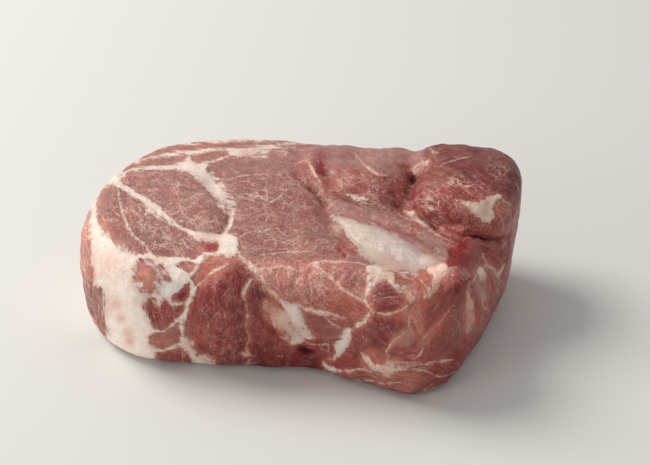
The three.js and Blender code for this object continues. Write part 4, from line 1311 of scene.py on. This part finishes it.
# the meat's skin before it is dressed, with the bone's pocket filled
def makeMeat():
    shells = [mergedNode("meat"), mergedNode("blade_bone", meatShape["boneGrowth"])]
    places, faces = evenSkin(shells, meatShape["grid"])
    links = linksOf(faces)
    places = evened(places, links, meatShape["smoothing"])
    high = places[:, 2] > meatShape["cutHeight"] * mm
    flatter = smoothRise(depthInside(toPhoto(places), lens), -6, 3) * high
    places += flatter[:, None] * (evened(places, links, meatShape["lensSmoothing"]) - places)
    normals = normalsOf(places, faces)
    tree = treeOf(places, faces)
    seen = seenFromCamera(places, normals, tree)
    print("meat skin", len(places), "places,", seen.sum(), "in the photo")
    return places, faces, links, normals, tree, seen


# 1 where the meat's skin steps back under the bone's, 0 elsewhere
def stepBack(places, boneTree):
    steps = np.zeros(len(places))
    reach = meatShape["stepDepth"] * mm
    low, high = (np.array(corner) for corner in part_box("blade_bone"))
    close = ((places > low - reach) & (places < high + reach)).all(axis=1)
    for index in np.flatnonzero(close):
        above = dropOnto(boneTree, places[index], 4 * mm)
        found = boneTree.find_nearest(Vector(places[index]))
        offset = Vector(places[index]) - found[0]
        if above is not None and abs(above.z - places[index, 2]) < meatShape["stepHeight"] * mm:
            steps[index] = offset.length < meatShape["stepGap"] * mm
        if offset.dot(found[1]) <= 0 and offset.length < reach:
            steps[index] = 1
    return steps


# the finished meat: fat and muscles stand proud, creases cut in, and the relief goes over them
def dressMeat(places, faces, links, normals, tree, seen, boneTree):
    painted, drawn = paint(places, normals, seen, links, tree)
    depth = painted["fatDepth"]
    away, half = painted["line"][:, 1], painted["line"][:, 2]
    fatShare = smoothRise(depth, -0.4, 1.2)
    lineShare = np.exp(-(away / np.maximum(half, 0.3)) ** 2) * (half > 0)
    side = smoothRise(normals[:, 2], 0.75, 0.35)
    bulge = 1 - np.exp(-np.minimum(np.abs(depth), away) / meatShape["bulgeReach"])
    rise = meatShape["fatRise"] * fatShare + meatShape["lineRise"] * lineShare - drawn["valley"]
    rise += meatShape["muscleRise"] * side * bulge * (1 - fatShare)
    steps = stepBack(places, boneTree)
    rise -= meatShape["boneStep"] * steps
    low, high = meatShape["foot"]
    foot = smoothRise(places[:, 2], low * mm, high * mm)
    places = places + normals * (rise * mm * np.where(steps > 0, 1, foot))[:, None]
    places[:, 2] = np.maximum(places[:, 2], 0)

    flatTop = smoothRise(depthInside(drawn["spots"], cutFace), -4, 6)
    flatTop = np.maximum(flatTop, smoothRise(depthInside(drawn["spots"], lens), -8, 0)) * (drawn["gap"] < 1)
    lumps = foot * (1 - 0.75 * flatTop)
    dimples = foot * (0.35 + 0.65 * fatShare) * (1 - 0.5 * flatTop)
    fibres = foot * (1 - fatShare) * (1 - 0.85 * flatTop) * smoothRise(drawn["fromNext"], 0, 7)
    painted["muscle"] = np.column_stack((drawn["veins"], smoothRise(drawn["fromNext"], 0.5, 4), flatTop))
    painted["relief"] = np.column_stack((lumps, dimples, fibres))
    piece = withRelief(asObject("meatWithFat", places, faces, painted), meatMaterial())
    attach(piece, "root")
    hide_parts("meat")


boneShape = {
    "grid": 0.8,             # mm between the points of the skin
    "smoothing": 10,         # rounds
    "growth": 0.35,          # mm that the skin stands off the solid
    "sunk": 1.0,             # mm under the meat's skin at the outline of the lens
    "slope": 1.4,            # mm that it rises inside that outline, and sinks outside it
    "slopeInside": 5,        # pixels
    "slopeOutside": 4,
    "reach": 9,              # mm between the two skins, where the bone's follows the meat's
    "knob": (455, 281, 20),  # x, y and radius of the end that stands free, in pixels
    "marrow": (457, 286, 4.5),
    "marrowDepth": 2.2,      # mm
    "run": (0.9, -0.42, 0.0),
    "relief": (0.6, 0.9, 0.5),
    "fibreStretch": 0.8,
}
boneLooks = {
    "membrane": (190, 166, 153),
    "blue": (180, 166, 163),
    "cream": (208, 189, 173),
    "knobPink": (180, 82, 68),
    "marrow": (118, 18, 30),
    "leanBeneath": (146, 98, 86),
    "threadColour": (240, 234, 226),
    "roughness": 0.4,
    "subsurface": 0.12,
    "subsurfaceScale": 2,    # mm
    "wetness": 0.06,
}
# soft spots of the bone: x, y, radius, which colour, and share
boneSpots = [
    (428, 248, 13, "leanBeneath", 0.85), (412, 244, 8, "leanBeneath", 0.5),
    (440, 253, 8, "leanBeneath", 0.6), (342, 224, 12, "cream", 0.9), (358, 234, 14, "cream", 0.8),
    (372, 250, 12, "cream", 0.5), (424, 260, 7, "cream", 0.8), (398, 246, 13, "blue", 0.6),
    (410, 256, 10, "blue", 0.5), (380, 230, 8, "blue", 0.6), (390, 264, 12, "knobPink", 0.25),
    (455, 281, 19, "knobPink", 1.0), (452, 270, 6, "knobPink", 0.6), (442, 270, 6, "cream", 0.8),
    (441, 284, 7, "knobPink", 0.5), (447, 266, 5, "cream", 0.6), (462, 286, 7, "marrow", 0.8),
    (456, 287, 5, "marrow", 0.9), (461, 283, 4, "marrow", 0.9), (456, 297, 7, "knobPink", 1.0),
    (459, 262, 7, "marrow", 0.7), (464, 272, 7, "marrow", 0.35), (455, 293, 7, "marrow", 0.5),
]


def lensTone(spots):
    table = [(x, y, radius, boneLooks[name], share) for x, y, radius, name, share in boneSpots]
    return withSpots(np.tile(linear(boneLooks["membrane"]), (len(spots), 1)), spots, table)


def boneMaterial():
    material, start = newMaterial("moistBone")
    place = start.node("ShaderNodeTexCoord", None, "Object")
    tone = start.stored("boneTone", "Color")
    coarse = start.noise(place, 7.0, 2.0)
    middling = start.noise(place, 2.6, 3.0)
    fine = start.noise(place, 0.9, 2.0)
    colour = tone.times(0.8 + middling * 0.24 + fine * 0.16)
    colour = colour.under(tone.times(0.72), coarse.rise(0.52, 0.7) * 0.3)
    threads = start.noise(start.stored("grain", "Vector"), 1.6, 2.0)
    colour = colour.under(opaque(boneLooks["threadColour"]), threads.rise(0.56, 0.7) * 0.3)
    height = threads * 0.5 + middling * 0.8 + fine * 0.4
    bump = start.node("ShaderNodeBump", None, 0, {"Strength": 0.8, "Distance": 0.8 * mm, "Height": height})
    shader = start.node("ShaderNodeBsdfPrincipled", None, 0, {
        "Base Color": colour, "Roughness": boneLooks["roughness"] + (fine - 0.5) * 0.2, "Normal": bump,
        "Subsurface Weight": boneLooks["subsurface"], "Subsurface Radius": (1.0, 0.7, 0.5),
        "Subsurface Scale": boneLooks["subsurfaceScale"] * mm,
        "Coat Weight": boneLooks["wetness"], "Coat Roughness": 0.25, "Specular IOR Level": 0.4,
    })
    endMaterial(start, shader)
    return material


# the bone, laid flush into the meat's skin, with its knob left free
def makeBone(meatTree):
    places, faces = evenSkin([mergedNode("blade_bone", boneShape["growth"])], boneShape["grid"])
    links = linksOf(faces)
    places = evened(places, links, boneShape["smoothing"])
    spots = toPhoto(places)
    inside = depthInside(spots, lens)
    slope = boneShape["slope"]
    offset = (slope * smoothRise(inside, 0, boneShape["slopeInside"]) - boneShape["sunk"]
              - slope * smoothRise(inside, 0, -boneShape["slopeOutside"])) * mm
    loose = 1 - smoothRise(softSpot(spots, *boneShape["knob"]), 0.2, 0.65)
    upward = normalsOf(places, faces)[:, 2] > 0
    for index, place in enumerate(places):
        above = dropOnto(meatTree, place, 20 * mm)
        if above is None or abs(above.z - place[2]) > boneShape["reach"] * mm:
            continue
        height = above.z + offset[index]
        if upward[index] or place[2] > height:
            places[index, 2] += loose[index] * (height - place[2])
    pit = softSpot(spots, *boneShape["marrow"])[:, None] * normalsOf(places, faces)
    places = evened(places - pit * boneShape["marrowDepth"] * mm, links, 2)

    run = np.array(boneShape["run"])
    along = places @ run
    painted = {
        "boneTone": lensTone(toPhoto(places)),
        "grain": places - boneShape["fibreStretch"] * along[:, None] * run,
        "relief": np.tile(boneShape["relief"], (len(places), 1)),
    }
    piece = withRelief(asObject("bladeBone", places, faces, painted), boneMaterial())
    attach(piece, "root")
    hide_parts("blade_bone")
    return treeOf(places, faces)


studio = {
    "floorColour": (212, 210, 206),
    "floorSize": 8.0,           # m
    "floorRoughness": 0.7,
    "skyColour": (250, 250, 250),
    "skyStrength": 0.52,
    "lampColour": (1.0, 0.99, 0.97),
    "lampAim": (0, 0, 0.04),
    "softbox": {"place": (-1.5, 0.4, 1.75), "size": 1.3, "power": 46},
    "fill": {"place": (-1.5, -1.7, 0.8), "size": 1.0, "power": 12},
}


def makeStudio():
    half = studio["floorSize"] / 2
    corners = [(-half, -half, 0), (half, -half, 0), (half, half, 0), (-half, half, 0)]
    data = bpy.data.meshes.new("floor")
    data.from_pydata(corners, [], [(0, 1, 2, 3)])
    floor = bpy.data.objects.new("floor", data)
    bpy.context.scene.collection.objects.link(floor)
    material, start = newMaterial("paleFloor")
    shader = start.node("ShaderNodeBsdfPrincipled", None, 0, {
        "Base Color": opaque(studio["floorColour"]), "Roughness": studio["floorRoughness"],
        "Specular IOR Level": 0.2})
    endMaterial(start, shader)
    data.materials.append(material)
    for name in ("softbox", "fill"):
        lamp = bpy.data.lights.new(name, "AREA")
        lamp.shape = "DISK"
        lamp.size = studio[name]["size"]
        lamp.energy = studio[name]["power"]
        lamp.color = studio["lampColour"]
        light = bpy.data.objects.new(name, lamp)
        light.location = studio[name]["place"]
        aim = Vector(studio["lampAim"]) - light.location
        light.rotation_euler = aim.to_track_quat("-Z", "Y").to_euler()
        bpy.context.scene.collection.objects.link(light)
    world = bpy.data.worlds.new("studioSky")
    world.use_nodes = True
    sky = world.node_tree.nodes["Background"]
    sky.inputs["Color"].default_value = opaque(studio["skyColour"])
    sky.inputs["Strength"].default_value = studio["skyStrength"]
    bpy.context.scene.world = world
    bpy.context.scene.view_settings.view_transform = "Standard"


makeStudio()
print("studio lit")
places, faces, links, normals, meatTree, seen = makeMeat()
boneTree = makeBone(meatTree)
print("bone made")
dressMeat(places, faces, links, normals, meatTree, seen, boneTree)
print("meat dressed")
